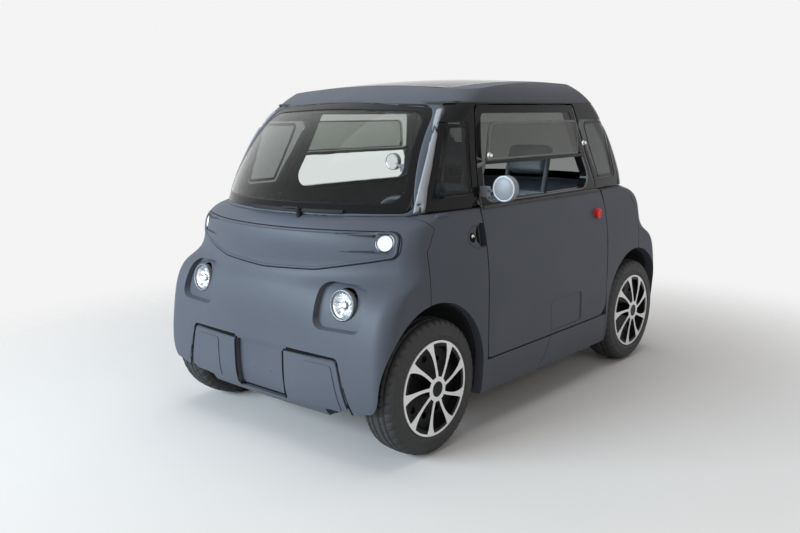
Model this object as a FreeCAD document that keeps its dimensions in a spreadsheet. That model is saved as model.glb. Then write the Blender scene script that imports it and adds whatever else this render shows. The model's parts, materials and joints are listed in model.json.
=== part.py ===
import FreeCAD, Part
import math
import os
import Sketcher
from FreeCAD import Placement, Rotation, Vector

# Two-seat electric microcar. +X is forward, +Y is the car's left, +Z is up, and the
# origin lies on the ground under the middle of the body. Lengths are in millimetres.
# The lower body is the same at the front and the rear. The left door is hinged at its
# rear edge and the right door at its front edge, so the right side is the left side
# turned half a turn about the vertical axis.

# Driving dimensions. Each name becomes the alias of a spreadsheet cell.
DIMENSIONS = {
    # Running gear
    "wheelbase": 1730,
    "track": 1200,
    "tyre_radius": 278.5,
    "tyre_width": 157,
    "tread_width": 112,
    "rim_radius": 178,
    "rim_width": 132,
    "rim_lip": 7,
    "hubcap_radius": 194,
    "hubcap_spokes": 9,
    "hubcap_ring": 9,
    "hubcap_ring_face": 79,
    "hubcap_centre_face": 90,
    "hubcap_thickness": 5,
    "hubcap_hub_radius": 50,
    "spoke_waist": 14,
    "spoke_start": -10,
    "spoke_sweep": 11,
    "vent_count": 9,
    "vent_radius": 15,
    "vent_circle": 118,
    "hub_radius": 56,
    "hub_length": 62,
    "cap_radius": 31,
    "spindle_radius": 15,
    "bearing_clearance": 0.3,
    # Lower body levels: height, setback of the nose, setback of the side, corner and bow
    "body_length": 2410,
    "body_width": 1390,
    "sill_level": 172,
    "sill_nose_setback": 44,
    "sill_side_setback": 18,
    "sill_corner": 80,
    "sill_bow": 8000,
    "skirt_level": 250,
    "skirt_nose_setback": 8,
    "skirt_side_setback": 4,
    "skirt_corner": 72,
    "skirt_bow": 9000,
    "bumper_level": 400,
    "bumper_nose_setback": 3,
    "bumper_corner": 70,
    "bumper_bow": 9000,
    "lamp_level": 590,
    "lamp_nose_setback": 8,
    "lamp_corner": 76,
    "lamp_bow": 4200,
    "shoulder_level": 690,
    "shoulder_nose_setback": 32,
    "shoulder_side_setback": 2,
    "shoulder_corner": 84,
    "shoulder_bow": 2300,
    "waist_level": 765,
    "waist_nose_setback": 52,
    "waist_side_setback": 9,
    "waist_corner": 130,
    "waist_bow": 1350,
    "band_level": 868,
    "band_nose_setback": 44,
    "band_side_setback": 26,
    "band_corner": 120,
    "band_bow": 1150,
    "hood_level": 918,
    "hood_nose_setback": 56,
    "hood_side_setback": 38,
    "hood_corner": 125,
    "hood_bow": 1030,
    "belt_level": 962,
    "belt_nose_setback": 98,
    "belt_side_setback": 50,
    "belt_corner": 145,
    "belt_bow": 800,
    "side_bow": 60000,
    "body_wall": 42,
    # Glasshouse
    "glass_foot_level": 930,
    "glass_foot_nose": 1126,
    "glass_foot_half_width": 626,
    "glass_foot_bow": 790,
    "glass_foot_corner": 130,
    "glass_knee_level": 1150,
    "glass_knee_nose": 985,
    "glass_knee_half_width": 615,
    "glass_knee_bow": 900,
    "glass_knee_corner": 125,
    "glass_brow_level": 1290,
    "glass_brow_nose": 838,
    "glass_brow_half_width": 607,
    "glass_brow_bow": 1080,
    "glass_brow_corner": 120,
    "glass_header_level": 1390,
    "glass_header_nose": 690,
    "glass_header_half_width": 599,
    "glass_header_bow": 1350,
    "glass_header_corner": 115,
    "glass_rail_level": 1477,
    "glass_rail_nose": 500,
    "glass_rail_half_width": 555,
    "glass_rail_bow": 2000,
    "glass_rail_corner": 115,
    "glass_lid_level": 1548,
    "glass_lid_nose": 60,
    "glass_lid_half_width": 290,
    "glass_lid_bow": 3000,
    "glass_lid_corner": 50,
    "glasshouse_side_bow": 9000,
    "roof_height": 1520,
    "roof_radius": 5000,
    "roof_peak_setback": 150,
    "frame_wall": 42,
    "glass_thickness": 5,
    "glass_inset": 2,
    "panel_gap": 4,
    "door_gap": 7,
    "seat_gap": 0.3,
    # Windscreen and rear window outline, seen along X
    "screen_foot_level": 940,
    "screen_foot_half": 586,
    "screen_head_level": 1372,
    "screen_head_half": 512,
    "screen_crown_level": 1412,
    "screen_corner": 40,
    # Quarter window outline, seen along Y
    "quarter_front": 838,
    "quarter_head_front": 706,
    "quarter_foot": 984,
    "quarter_head": 1352,
    "quarter_corner": 22,
    # Roof glass
    "roof_glass_half_length": 500,
    "roof_glass_half_width": 470,
    "roof_glass_corner": 70,
    # Wheel arches and liners
    "arch_radius": 305,
    "arch_rise": 38,
    "liner_inner": 362,
    "liner_thickness": 3.5,
    # Doors, seen along Y
    "door_front": 525,
    "door_front_head": 500,
    "door_rear": 540,
    "door_rear_belt": 520,
    "door_rear_head": 302,
    "door_bottom": 320,
    "door_inner_side": 545,
    "door_head": 1393,
    "door_corner": 75,
    "door_head_corner": 30,
    "door_edge_bend": 110,
    "door_frame": 34,
    "hinge_inset": 4,
    "hinge_radius": 3.2,
    "hinge_knuckle": 24,
    "hinge_low": 430,
    "hinge_high": 640,
    "transom_depth": 16,
    "transom_proud": 11,
    "flap_level": 1156,
    "flap_head": 1318,
    "flap_lean": 14,
    # Seams of the nose panels
    "fender_seam": 906,
    "fender_seam_head": 842,
    "fender_seam_turn": 830,
    "band_half": 612,
    "band_foot": 772,
    "band_head": 912,
    "band_corner_radius": 46,
    # Lamps
    "headlamp_side": 443,
    "headlamp_height": 632,
    "headlamp_radius": 62,
    "headlamp_recess": 26,
    "headlamp_recess_half_width": 96,
    "headlamp_recess_half_height": 74,
    "headlamp_recess_flare": 34,
    "marker_side": 553,
    "marker_height": 868,
    "marker_radius": 32,
    "headlamp_proud": 10,
    "lamp_depth": 34,
    "band_groove_width": 9,
    "band_groove_depth": 6,
    "band_groove_length": 185,
    # Bumper and number plate
    "insert_head": 432,
    "insert_half_head": 452,
    "insert_half_foot": 528,
    "insert_depth": 9,
    "bumper_block_near": 160,
    "bumper_pad_near": 272,
    "bumper_pad_border": 32,
    "bumper_pad_proud": 3,
    "plate_half": 150,
    "plate_foot": 200,
    "plate_head": 415,
    "plate_depth": 22,
    "plate_hole_pitch": 110,
    "plate_hole_radius": 3,
    "plate_hole_depth": 28,
    "plate_hole_height": 300,
    # Floor and bulkheads
    "floor_bottom": 176,
    "floor_top": 226,
    "floor_half_length": 925,
    "bulkhead": 905,
    "bulkhead_thickness": 20,
    "bulkhead_head": 600,
    # Seats
    "seat_side": 300,
    "driver_seat_front": 240,
    "passenger_setback": 120,
    "seat_width": 430,
    "seat_length": 430,
    "seat_height": 400,
    "seat_shell": 22,
    "seat_pad": 38,
    "seat_back_lean": 16,
    "seat_back_height": 560,
    "seat_back_corner": 120,
    "headrest_height": 210,
    "headrest_width": 230,
    "headrest_tube": 13,
    # Dashboard and steering
    "dash_face": 690,
    "dash_front": 985,
    "dash_foot": 640,
    "dash_head": 905,
    "dash_half": 560,
    "column_lean": 25,
    "wheel_rim_radius": 180,
    "wheel_rim_tube": 13,
    "steering_wheel_height": 830,
    "steering_wheel_place": 560,
    "steering_ratio": 14,
    # Suspension
    "steer_lock": 32,
    "ball_joint_gap": 3.5,
    "kingpin_foot_side": 563,
    "kingpin_foot_height": 150,
    "kingpin_head_side": 476,
    "kingpin_head_height": 600,
    "strut_radius": 19.5,
    "upright_width": 60,
    "steering_arm": 108,
    "steering_arm_height": 224,
    "steering_arm_thickness": 12,
    "tie_rod_radius": 8,
    "tie_rod_lift": 31,
    "rack_half": 240,
    "rack_radius": 13,
    "arm_root_side": 292,
    "arm_thickness": 22,
    "arm_width": 46,
    "subframe_bottom": 112,
    "trailing_pivot": 530,
    "trailing_pivot_height": 136,
    "trailing_arm_radius": 20,
    "rear_beam_side": 430,
    "rear_tube_radius": 24,
    "damper_radius": 26,
    # Heavy masses
    "motor_radius": 95,
    "motor_length": 260,
    "motor_height": 400,
    "battery_length": 420,
    "battery_width": 520,
    "battery_height": 130,
    # Small parts
    "mirror_radius": 52,
    "mirror_thickness": 28,
    "mirror_out": 800,
    "mirror_height": 1057,
    "mirror_place": 572,
    "disc_radius": 25,
    "disc_thickness": 18,
    "disc_place": 441,
    "disc_height": 854,
    "wiper_radius": 6,
    "wiper_near_end": 350,
    "wiper_far_end": 125,
    "wiper_height": 977,
    "wiper_pivot_side": 165,
    "wiper_pivot_place": 1098,
    "sill_seam_head": 9,
    "sill_seam_foot": 107,
    "handle_place": 538,
    "handle_height": 856,
    "handle_radius": 50,
    "handle_depth": 26,
    "key_radius": 9,
    "key_place": 608,
    "emboss_front": 6,
    "emboss_rear": 266,
    "emboss_foot": 342,
    "emboss_head": 487,
    "emboss_depth": 3,
}

document = FreeCAD.newDocument("microcar")
sheet = document.addObject("Spreadsheet::Sheet", "Sizes")
for row, (alias, number) in enumerate(DIMENSIONS.items(), start=1):
    sheet.set("A%d" % row, alias)
    sheet.set("B%d" % row, str(number))
    sheet.setAlias("B%d" % row, alias)
document.recompute()

PARTS = {}


def size(expression):
    """Value of an expression made of sheet aliases."""
    return float(sheet.evalExpression(expression))


def bound(expression):
    """The same expression, written for a property of another object."""
    words = []
    word = ""
    for letter in expression + " ":
        if letter.isalnum() or letter in "_.":
            word += letter
            continue
        if word in DIMENSIONS:
            word = "Sizes." + word
        words.append(word + letter)
        word = ""
    return "".join(words).strip()


def sculpted(label, shape):
    """A piece whose freeform shape is worked out from the sheet's values."""
    feature = document.addObject("Part::Feature", label)
    feature.Label = label
    feature.Shape = shape
    feature.Placement = shape.Placement
    PARTS[label] = feature
    return feature


def origin_plane(body, role):
    return [item for item in body.Origin.OriginFeatures if item.Role == role][0]


def sketch_outline(body, name, role, points):
    """Closed outline of straight runs, with every corner bound to the sheet."""
    sketch = body.newObject("Sketcher::SketchObject", name)
    sketch.AttachmentSupport = [(origin_plane(body, role), "")]
    sketch.MapMode = "FlatFace"
    places = [Vector(size(across), size(along), 0) for across, along in points]
    count = len(places)
    for index in range(count):
        sketch.addGeometry(Part.LineSegment(places[index], places[(index + 1) % count]), False)
    for index in range(count):
        sketch.addConstraint(Sketcher.Constraint("Coincident", index, 2, (index + 1) % count, 1))
    for index, (across, along) in enumerate(points):
        for kind, text, number in (("DistanceX", across, places[index].x), ("DistanceY", along, places[index].y)):
            constraint = sketch.addConstraint(Sketcher.Constraint(kind, -1, 1, index, 1, number))
            sketch.setExpression("Constraints[%d]" % constraint, bound(text))
    return sketch


def revolved(label, points, place, rotation):
    """A turned piece: its outline gives radius and place along its own axis."""
    body = document.addObject("PartDesign::Body", label)
    body.Label = label
    document.recompute()
    sketch = sketch_outline(body, label + "_profile", "XZ_Plane", points)
    turn = body.newObject("PartDesign::Revolution", label + "_turned")
    turn.Profile = sketch
    turn.ReferenceAxis = (sketch, ["V_Axis"])
    turn.Angle = 360
    body.Placement = Placement(Vector(), rotation)
    for axis, text in zip("xyz", place):
        body.setExpression("Placement.Base." + axis, bound(text))
    document.recompute()
    PARTS[label] = body
    return body


def turned(shape):
    """The same shape on the other side, half a turn about the vertical axis."""
    copy = shape.copy()
    copy.rotate(Vector(), Vector(0, 0, 1), 180)
    return copy


def mirrored(shape, normal):
    return shape.mirror(Vector(), normal)


LEFTWARD = Vector(0, 1, 0)
FORWARD = Vector(1, 0, 0)
UPWARD = Vector(0, 0, 1)


def rounded_wire(corners):
    """Closed wire through the corners; each corner is (point, radius)."""
    edges = []
    count = len(corners)
    starts = []
    ends = []
    for index, (point, radius) in enumerate(corners):
        back = (corners[index - 1][0] - point).normalize()
        ahead = (corners[(index + 1) % count][0] - point).normalize()
        if radius <= 0:
            starts.append(point)
            ends.append(point)
            continue
        half = back.getAngle(ahead) / 2
        reach = radius / math.tan(half)
        start = point + back * reach
        end = point + ahead * reach
        centre = point + (back + ahead).normalize() * (radius / math.sin(half))
        middle = centre + (point - centre).normalize() * radius
        edges.append((index, Part.Arc(start, middle, end).toShape()))
        starts.append(start)
        ends.append(end)
    arcs = dict(edges)
    path = []
    for index in range(count):
        if index in arcs:
            path.append(arcs[index])
        following = (index + 1) % count
        if ends[index].distanceToPoint(starts[following]) > 1e-6:
            path.append(Part.makeLine(ends[index], starts[following]))
    return Part.Wire(path)


def side_prism(corners, near, far):
    """Outline in X and Z, with corners (x, z, radius), swept across the car from y=near."""
    wire = rounded_wire([(Vector(x, near, z), radius) for x, z, radius in corners])
    return Part.Face(wire).extrude(Vector(0, far - near, 0))


def front_prism(corners, near, far):
    """Outline in Y and Z, with corners (y, z, radius), swept along the car from x=near."""
    wire = rounded_wire([(Vector(near, y, z), radius) for y, z, radius in corners])
    return Part.Face(wire).extrude(Vector(far - near, 0, 0))


def top_prism(corners, low, high):
    """Outline in X and Y, with corners (x, y, radius), swept up from z=low."""
    wire = rounded_wire([(Vector(x, y, low), radius) for x, y, radius in corners])
    return Part.Face(wire).extrude(Vector(0, 0, high - low))


def block(low, high):
    corner = Vector(*low)
    span = Vector(*high) - corner
    return Part.makeBox(span.x, span.y, span.z, corner)


def rod(start, end, radius):
    return Part.makeCylinder(radius, (end - start).Length, start, end - start)


def plan_section(level, nose, bow, half_width, side_bow, corner):
    """Horizontal outline of the body: bowed ends and sides joined by round corners."""
    end_centre = Vector(nose - bow, 0, level)
    side_centre = Vector(0, half_width - side_bow, level)
    end_reach = bow - corner
    side_reach = side_bow - corner
    span = side_centre - end_centre
    distance = span.Length
    along = (end_reach ** 2 - side_reach ** 2 + distance ** 2) / (2 * distance)
    across = math.sqrt(end_reach ** 2 - along ** 2)
    direction = span * (1 / distance)
    sideways = Vector(-direction.y, direction.x, 0)
    options = [end_centre + direction * along + sideways * across * sign for sign in (1, -1)]
    centre = max(options, key=lambda point: point.x + point.y)
    end_touch = end_centre + (centre - end_centre).normalize() * bow
    side_touch = side_centre + (centre - side_centre).normalize() * side_bow
    outward = ((end_touch - centre).normalize() + (side_touch - centre).normalize()).normalize()
    middle = centre + outward * corner

    def flip(point, x_sign, y_sign):
        return Vector(point.x * x_sign, point.y * y_sign, point.z)

    front = Vector(nose, 0, level)
    side = Vector(0, half_width, level)
    arcs = (
        (flip(end_touch, 1, -1), front, end_touch),
        (end_touch, middle, side_touch),
        (side_touch, side, flip(side_touch, -1, 1)),
        (flip(side_touch, -1, 1), flip(middle, -1, 1), flip(end_touch, -1, 1)),
        (flip(end_touch, -1, 1), flip(front, -1, 1), flip(end_touch, -1, -1)),
        (flip(end_touch, -1, -1), flip(middle, -1, -1), flip(side_touch, -1, -1)),
        (flip(side_touch, -1, -1), flip(side, 1, -1), flip(side_touch, 1, -1)),
        (flip(side_touch, 1, -1), flip(middle, 1, -1), flip(end_touch, 1, -1)),
    )
    return Part.Wire([Part.Arc(*points).toShape() for points in arcs])


def lower_form(inset, cap=0):
    """Outer form of the lower body, moved inwards by inset; cap lengthens it up and down."""
    half_length = size("body_length") / 2 - inset
    half_width = size("body_width") / 2 - inset
    sections = []
    for name in ("sill", "skirt", "bumper", "lamp", "shoulder", "waist", "band", "hood", "belt"):
        nose_setback = size(name + "_nose_setback") if name + "_nose_setback" in DIMENSIONS else 0
        side_setback = size(name + "_side_setback") if name + "_side_setback" in DIMENSIONS else 0
        sections.append(plan_section(
            size(name + "_level"),
            half_length - nose_setback,
            size(name + "_bow") - inset,
            half_width - side_setback,
            size("side_bow") - inset,
            size(name + "_corner") - inset,
        ))
    form = Part.makeLoft(sections, True, False)
    if cap:
        lid = Part.Face(sections[-1]).extrude(Vector(0, 0, cap))
        sole = Part.Face(sections[0]).extrude(Vector(0, 0, -cap))
        form = form.fuse([lid, sole])
    return form


def roof_ball(inset):
    radius = size("roof_radius")
    return Part.makeSphere(radius - inset, Vector(-size("roof_peak_setback"), 0, size("roof_height") - radius))


def glasshouse_form(inset):
    """Outer form of the glasshouse under the domed roof, moved inwards by inset.

    Where the form leans over towards the roof, its sections also drop by a share of the inset.
    """
    sections = []
    for name, drop in (("foot", 0), ("knee", 0), ("brow", 0), ("header", 0.2), ("rail", 0.8), ("lid", 1)):
        sections.append(plan_section(
            size("glass_%s_level" % name) - inset * drop,
            size("glass_%s_nose" % name) - inset,
            size("glass_%s_bow" % name) - inset,
            size("glass_%s_half_width" % name) - inset,
            size("glasshouse_side_bow") - inset,
            size("glass_%s_corner" % name) - inset,
        ))
    return Part.makeLoft(sections, True, False).common(roof_ball(inset))


wall = size("body_wall")
gap = size("panel_gap")
door_gap = size("door_gap")
fit = size("seat_gap")
axle = size("wheelbase") / 2
wheel_side = size("track") / 2
tyre_radius = size("tyre_radius")
belt = size("belt_level")
half_length = size("body_length") / 2
half_width = size("body_width") / 2
OUT = 900

lower_outer = lower_form(0)
lower_inner = lower_form(wall, 60)
lower_wall = lower_outer.cut(lower_inner)
house_wall = glasshouse_form(0).cut(glasshouse_form(size("frame_wall")))
house_wall = house_wall.common(block((-OUT * 2, -OUT, belt), (OUT * 2, OUT, 1700)))


def arch_tunnel(radius, centre_x, near, far):
    """Space of one wheel arch, from y=near to y=far, open at the bottom."""
    level = tyre_radius + size("arch_rise")
    barrel = Part.makeCylinder(radius, far - near, Vector(centre_x, near, level), LEFTWARD)
    legs = block((centre_x - radius, near, 60), (centre_x + radius, far, level))
    return barrel.fuse(legs).removeSplitter()


liner_outer = size("arch_radius") + size("liner_thickness")
tunnels = []
for end in (1, -1):
    for near, far in ((size("liner_inner"), OUT), (-OUT, -size("liner_inner"))):
        tunnels.append(arch_tunnel(liner_outer + fit, end * axle, near, far))


def door_corners(shrink):
    """Outline of the left door, drawn in by shrink on every side."""
    return [
        (size("door_front") - shrink, size("door_bottom") + shrink, 12),
        (size("door_front") - shrink, belt - 20, size("door_edge_bend")),
        (size("door_front_head") - shrink, belt + 60, size("door_edge_bend")),
        (size("door_front_head") - shrink, size("door_head") - shrink, size("door_head_corner")),
        (-size("door_rear_head") + shrink, size("door_head") - shrink, size("door_head_corner")),
        (-size("door_rear_belt") + shrink, belt + 40, size("door_edge_bend")),
        (-size("door_rear") + shrink, belt - 60, size("door_edge_bend")),
        (-size("door_rear") + shrink, size("door_bottom") + shrink, size("door_corner")),
    ]


door_hole = side_prism(door_corners(0), size("door_inner_side") - door_gap, OUT)
door_blank = side_prism(door_corners(door_gap), size("door_inner_side"), OUT)
both_doors = [door_hole, turned(door_hole)]

# Door hinges: knuckles on the door's edge between knuckles on the body's edge
hinge_x = -size("door_rear") + door_gap / 2
hinge_y = half_width - size("hinge_inset")
knuckle = size("hinge_knuckle")


def hinge_knuckle(low, web):
    """One knuckle of a hinge, with a web reaching along X by the given length."""
    barrel = Part.makeCylinder(size("hinge_radius"), knuckle - fit, Vector(hinge_x, hinge_y, low))
    near = min(hinge_x, hinge_x + web)
    far = max(hinge_x, hinge_x + web)
    return barrel.fuse(block((near, hinge_y - size("hinge_radius"), low), (far, hinge_y, low + knuckle - fit)))


door_knuckles = []
body_knuckles = []
for foot in (size("hinge_low"), size("hinge_high")):
    body_knuckles.append(hinge_knuckle(foot, -door_gap / 2 - 2))
    door_knuckles.append(hinge_knuckle(foot + knuckle, door_gap / 2 + 2))
    body_knuckles.append(hinge_knuckle(foot + 2 * knuckle, -door_gap / 2 - 2))
door_knuckles = Part.makeCompound(door_knuckles)
body_knuckles = Part.makeCompound(body_knuckles)

# Lower body panels
seam_outline = [
    (size("fender_seam"), 100, 0),
    (size("fender_seam"), size("fender_seam_turn"), 20),
    (size("fender_seam_head"), size("band_head"), 0),
    (size("fender_seam_head") + 66, belt + 10, 0),
    (half_length + 100, belt + 10, 0),
    (half_length + 100, 100, 0),
]
nose_region = side_prism(seam_outline, -OUT, OUT)
nose_hole = side_prism([
    (size("fender_seam") - gap, 100, 0),
    (size("fender_seam") - gap, size("fender_seam_turn"), 20),
    (size("fender_seam_head") - gap, size("band_head"), 0),
    (size("fender_seam_head") + 66 - gap, belt + 10, 0),
    (half_length + 100, belt + 10, 0),
    (half_length + 100, 100, 0),
], -OUT, OUT)
side_wall = lower_wall.cut(tunnels).cut(both_doors)
nose_wall = side_wall.common(nose_region)
side_wall = side_wall.cut([nose_hole, turned(nose_hole)])

sill_head = size("door_bottom") - fit
left_side = side_wall.common(block((-OUT * 2, 0, 0), (OUT * 2, OUT, 2000)))
under_door = -size("door_rear") + gap
seam_head = size("sill_seam_head")
seam_foot = size("sill_seam_foot")
sill_zone = side_prism([
    (under_door, size("sill_level") - 10, 0),
    (seam_foot, size("sill_level") - 10, 0),
    (seam_head, sill_head, 0),
    (under_door, sill_head, 0),
], 0, OUT)
front_zone = side_prism([
    (seam_foot + gap, size("sill_level") - 10, 0),
    (OUT * 2, size("sill_level") - 10, 0),
    (OUT * 2, belt + 10, 0),
    (size("door_front"), belt + 10, 0),
    (size("door_front"), sill_head, 0),
    (seam_head + gap, sill_head, 0),
], 0, OUT)
rear_zone = block((-OUT * 2, 0, 0), (-size("door_rear"), OUT, belt + 10))

# Pull handle: a half-round pocket in the edge of the panel ahead of the door, with its key barrel
pocket = Part.makeCylinder(size("handle_radius"), OUT, Vector(size("handle_place"), 0, size("handle_height")), LEFTWARD)
pocket = pocket.cut(lower_form(size("handle_depth")))
barrel = Part.makeCylinder(size("key_radius"), OUT, Vector(size("key_place"), 0, size("handle_height")), LEFTWARD)
barrel = barrel.common(lower_form(1)).cut(lower_form(size("handle_depth") + 2))
fender_front = left_side.common(front_zone).cut(pocket).fuse(barrel)
fender_rear = left_side.common(rear_zone).fuse(body_knuckles.Solids)
sill = left_side.common(sill_zone)
sculpted("fender_front_left", fender_front)
sculpted("fender_rear_left", fender_rear)
sculpted("sill_left", sill)
sculpted("fender_front_right", turned(fender_rear))
sculpted("fender_rear_right", turned(fender_front))
sculpted("sill_right", turned(sill))

band_corners = [
    (-size("band_half"), size("band_foot") + 30, size("band_corner_radius")),
    (0, size("band_foot"), 0),
    (size("band_half"), size("band_foot") + 30, size("band_corner_radius")),
    (size("band_half"), size("band_head"), size("band_corner_radius")),
    (-size("band_half"), size("band_head"), size("band_corner_radius")),
]


def lamp_hole(side, height, radius):
    return Part.makeCylinder(radius, 600, Vector(half_length - 500, side, height), FORWARD)


def tapered_prism(corners, near, far, spread):
    """Like front_prism, but each corner moves away from the middle of the outline on the way to x=far."""
    middle_y = sum(y for y, z, radius in corners) / len(corners)
    middle_z = sum(z for y, z, radius in corners) / len(corners)
    wires = []
    for x, growth in ((near, 0), (far, spread)):
        wires.append(rounded_wire([
            (Vector(x, y + math.copysign(growth, y - middle_y), z + math.copysign(growth, z - middle_z)), radius)
            for y, z, radius in corners]))
    return Part.makeLoft(wires, True, True)


BEHIND_SKIN = half_length - 420
BEFORE_SKIN = half_length + 100
band_hole = front_prism(band_corners, BEHIND_SKIN, BEFORE_SKIN)
band_blank = front_prism([(y * (1 - gap / size("band_half")), z, r) for y, z, r in band_corners],
                         BEHIND_SKIN, BEFORE_SKIN)
groove_skin = lower_form(size("band_groove_depth"))
grooves = []
for side in (1, -1):
    for lift in (1, -1):
        near = size("marker_side") - size("marker_radius") * (0.1 if lift > 0 else -0.6)
        far = near - size("band_groove_length")
        level = size("marker_height") + lift * (size("marker_radius") + 6)
        level_far = level - 10 if lift > 0 else level
        grooves.append(front_prism([
            (side * near, level - size("band_groove_width") / 2, 0),
            (side * near, level + size("band_groove_width") / 2, 0),
            (side * far, level_far + 1, 0),
            (side * far, level_far - 1, 0),
        ], BEHIND_SKIN, BEFORE_SKIN).cut(groove_skin))
recess_cutter = []
for side in (size("headlamp_side"), -size("headlamp_side")):
    wide = size("headlamp_recess_half_width")
    high = size("headlamp_recess_half_height")
    recess = tapered_prism([
        (side - wide, size("headlamp_height") - high, 40),
        (side + wide, size("headlamp_height") - high, 40),
        (side + wide, size("headlamp_height") + high, 40),
        (side - wide, size("headlamp_height") + high, 40),
    ], half_length - 120, half_length + 20, size("headlamp_recess_flare"))
    recess_cutter.append(recess.cut(lower_form(size("headlamp_recess"))))
plate_recess = front_prism([
    (-size("plate_half"), size("plate_foot"), 12),
    (size("plate_half"), size("plate_foot"), 12),
    (size("plate_half"), size("plate_head"), 12),
    (-size("plate_half"), size("plate_head"), 12),
], half_length - 300, half_length + 100).cut(lower_form(size("plate_depth")))
lamp_bores = []
for side in (size("headlamp_side"), -size("headlamp_side")):
    lamp_bores.append(lamp_hole(side, size("headlamp_height"), size("headlamp_radius") + fit))
marker_bores = []
for side in (size("marker_side"), -size("marker_side")):
    marker_bores.append(lamp_hole(side, size("marker_height"), size("marker_radius") + fit))
plate_holes = []
for side in (size("plate_hole_pitch") / 2, -size("plate_hole_pitch") / 2):
    plate_holes.append(Part.makeCylinder(
        size("plate_hole_radius"), 200,
        Vector(half_length - size("plate_depth") - size("plate_hole_depth"), side, size("plate_hole_height")), FORWARD))

# Bumper insert: a sunk field across the foot of the nose, with a block standing out of it on each side
insert_foot = size("sill_level") - 20
insert_field = front_prism([
    (-size("insert_half_foot"), insert_foot, 0),
    (size("insert_half_foot"), insert_foot, 0),
    (size("insert_half_head"), size("insert_head"), 24),
    (-size("insert_half_head"), size("insert_head"), 24),
], BEHIND_SKIN, BEFORE_SKIN)
border = size("insert_depth")
blocks = []
pads = []
for side in (1, -1):
    block_near = size("bumper_block_near")
    block_head = size("insert_head") - 2 * border
    block_corners = [
        (side * block_near, insert_foot - 10, 0),
        (side * (size("insert_half_foot") - 2 * border), insert_foot - 10, 0),
        (side * (size("insert_half_head") - 1.5 * border), block_head, 22),
        (side * (block_near - 10), block_head, 22),
    ]
    blocks.append(tapered_prism(block_corners, BEFORE_SKIN - 100, BEFORE_SKIN - 100 - 3 * border, border))
    pad_foot = size("skirt_level") - 34
    pad_border = size("bumper_pad_border")
    pads.append(front_prism([
        (side * size("bumper_pad_near"), pad_foot, 14),
        (side * (size("insert_half_foot") - pad_border - 30), pad_foot, 14),
        (side * (size("insert_half_head") - pad_border), block_head - 18, 14),
        (side * size("bumper_pad_near"), block_head - 18, 14),
    ], BEHIND_SKIN, BEFORE_SKIN))
insert_cutter = insert_field.cut(lower_form(size("insert_depth"))).cut(blocks)
pad_skin = lower_form(-size("bumper_pad_proud")).cut(lower_form(wall / 2))
pads = [pad.common(pad_skin) for pad in pads]
nose = nose_wall.cut([band_hole, insert_cutter]).cut(recess_cutter)
nose = nose.cut([plate_recess]).cut(lamp_bores).cut(plate_holes).fuse(pads)
band = nose_wall.common(band_blank).cut(marker_bores).cut(grooves)
sculpted("nose_panel_front", nose)
sculpted("nose_panel_rear", turned(nose))
sculpted("lamp_band_front", band)
sculpted("lamp_band_rear", turned(band))

# Lamps: a housing cup with a domed lens each
def lamp(side, height, radius, front_inset):
    """Round lamp whose face follows the body's skin and whose back stays inside the wall."""
    barrel = Part.makeCylinder(radius, 600, Vector(half_length - 500, side, height), FORWARD)
    skin = lower_form(front_inset).cut(lower_form(front_inset + size("lamp_depth")))
    return barrel.common(skin)


for end_name, place in (("front", lambda shape: shape), ("rear", turned)):
    heads = [lamp(side * size("headlamp_side"), size("headlamp_height"), size("headlamp_radius"),
                  size("headlamp_recess") - size("headlamp_proud")) for side in (1, -1)]
    markers = [lamp(side * size("marker_side"), size("marker_height"), size("marker_radius"), fit)
               for side in (1, -1)]
    sculpted("headlamps_" + end_name, place(Part.makeCompound(heads)))
    sculpted("marker_lamps_" + end_name, place(Part.makeCompound(markers)))

# Cab frame: pillars, roof rails and headers left over between the windows
screen_corners = [
    (-size("screen_foot_half"), size("screen_foot_level"), size("screen_corner")),
    (size("screen_foot_half"), size("screen_foot_level"), size("screen_corner")),
    (size("screen_head_half"), size("screen_head_level"), size("screen_corner")),
    (0, size("screen_crown_level"), 0),
    (-size("screen_head_half"), size("screen_head_level"), size("screen_corner")),
]
screen_hole = front_prism(screen_corners, 380, 1400)


def front_quarter_corners(shrink):
    return [
        (size("door_front_head") + shrink, size("quarter_foot") + shrink, size("quarter_corner")),
        (size("quarter_front") - shrink * 2, size("quarter_foot") + shrink, size("quarter_corner")),
        (size("quarter_head_front") - shrink, size("quarter_head") - shrink, size("quarter_corner")),
        (size("door_front_head") + shrink, size("quarter_head") - shrink, size("quarter_corner")),
    ]


def rear_quarter_corners(shrink):
    return [
        (-size("door_rear_belt") - shrink, size("quarter_foot") + shrink, size("quarter_corner")),
        (-size("door_rear_head") - shrink, size("quarter_head") - shrink, size("quarter_corner")),
        (-size("quarter_head_front") + shrink, size("quarter_head") - shrink, size("quarter_corner")),
        (-size("quarter_front") + shrink * 2, size("quarter_foot") + shrink, size("quarter_corner")),
    ]


pillar = size("door_frame")
quarter_holes = [side_prism(front_quarter_corners(pillar), 300, OUT), side_prism(rear_quarter_corners(pillar), 300, OUT)]
quarter_holes += [turned(hole) for hole in quarter_holes]
roof_hole = top_prism([
    (-size("roof_glass_half_length"), -size("roof_glass_half_width"), size("roof_glass_corner")),
    (size("roof_glass_half_length"), -size("roof_glass_half_width"), size("roof_glass_corner")),
    (size("roof_glass_half_length"), size("roof_glass_half_width"), size("roof_glass_corner")),
    (-size("roof_glass_half_length"), size("roof_glass_half_width"), size("roof_glass_corner")),
], 1300, 1700)
frame = house_wall.cut(both_doors).cut([screen_hole, turned(screen_hole), roof_hole]).cut(quarter_holes)
sculpted("cab_frame", frame)

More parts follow.
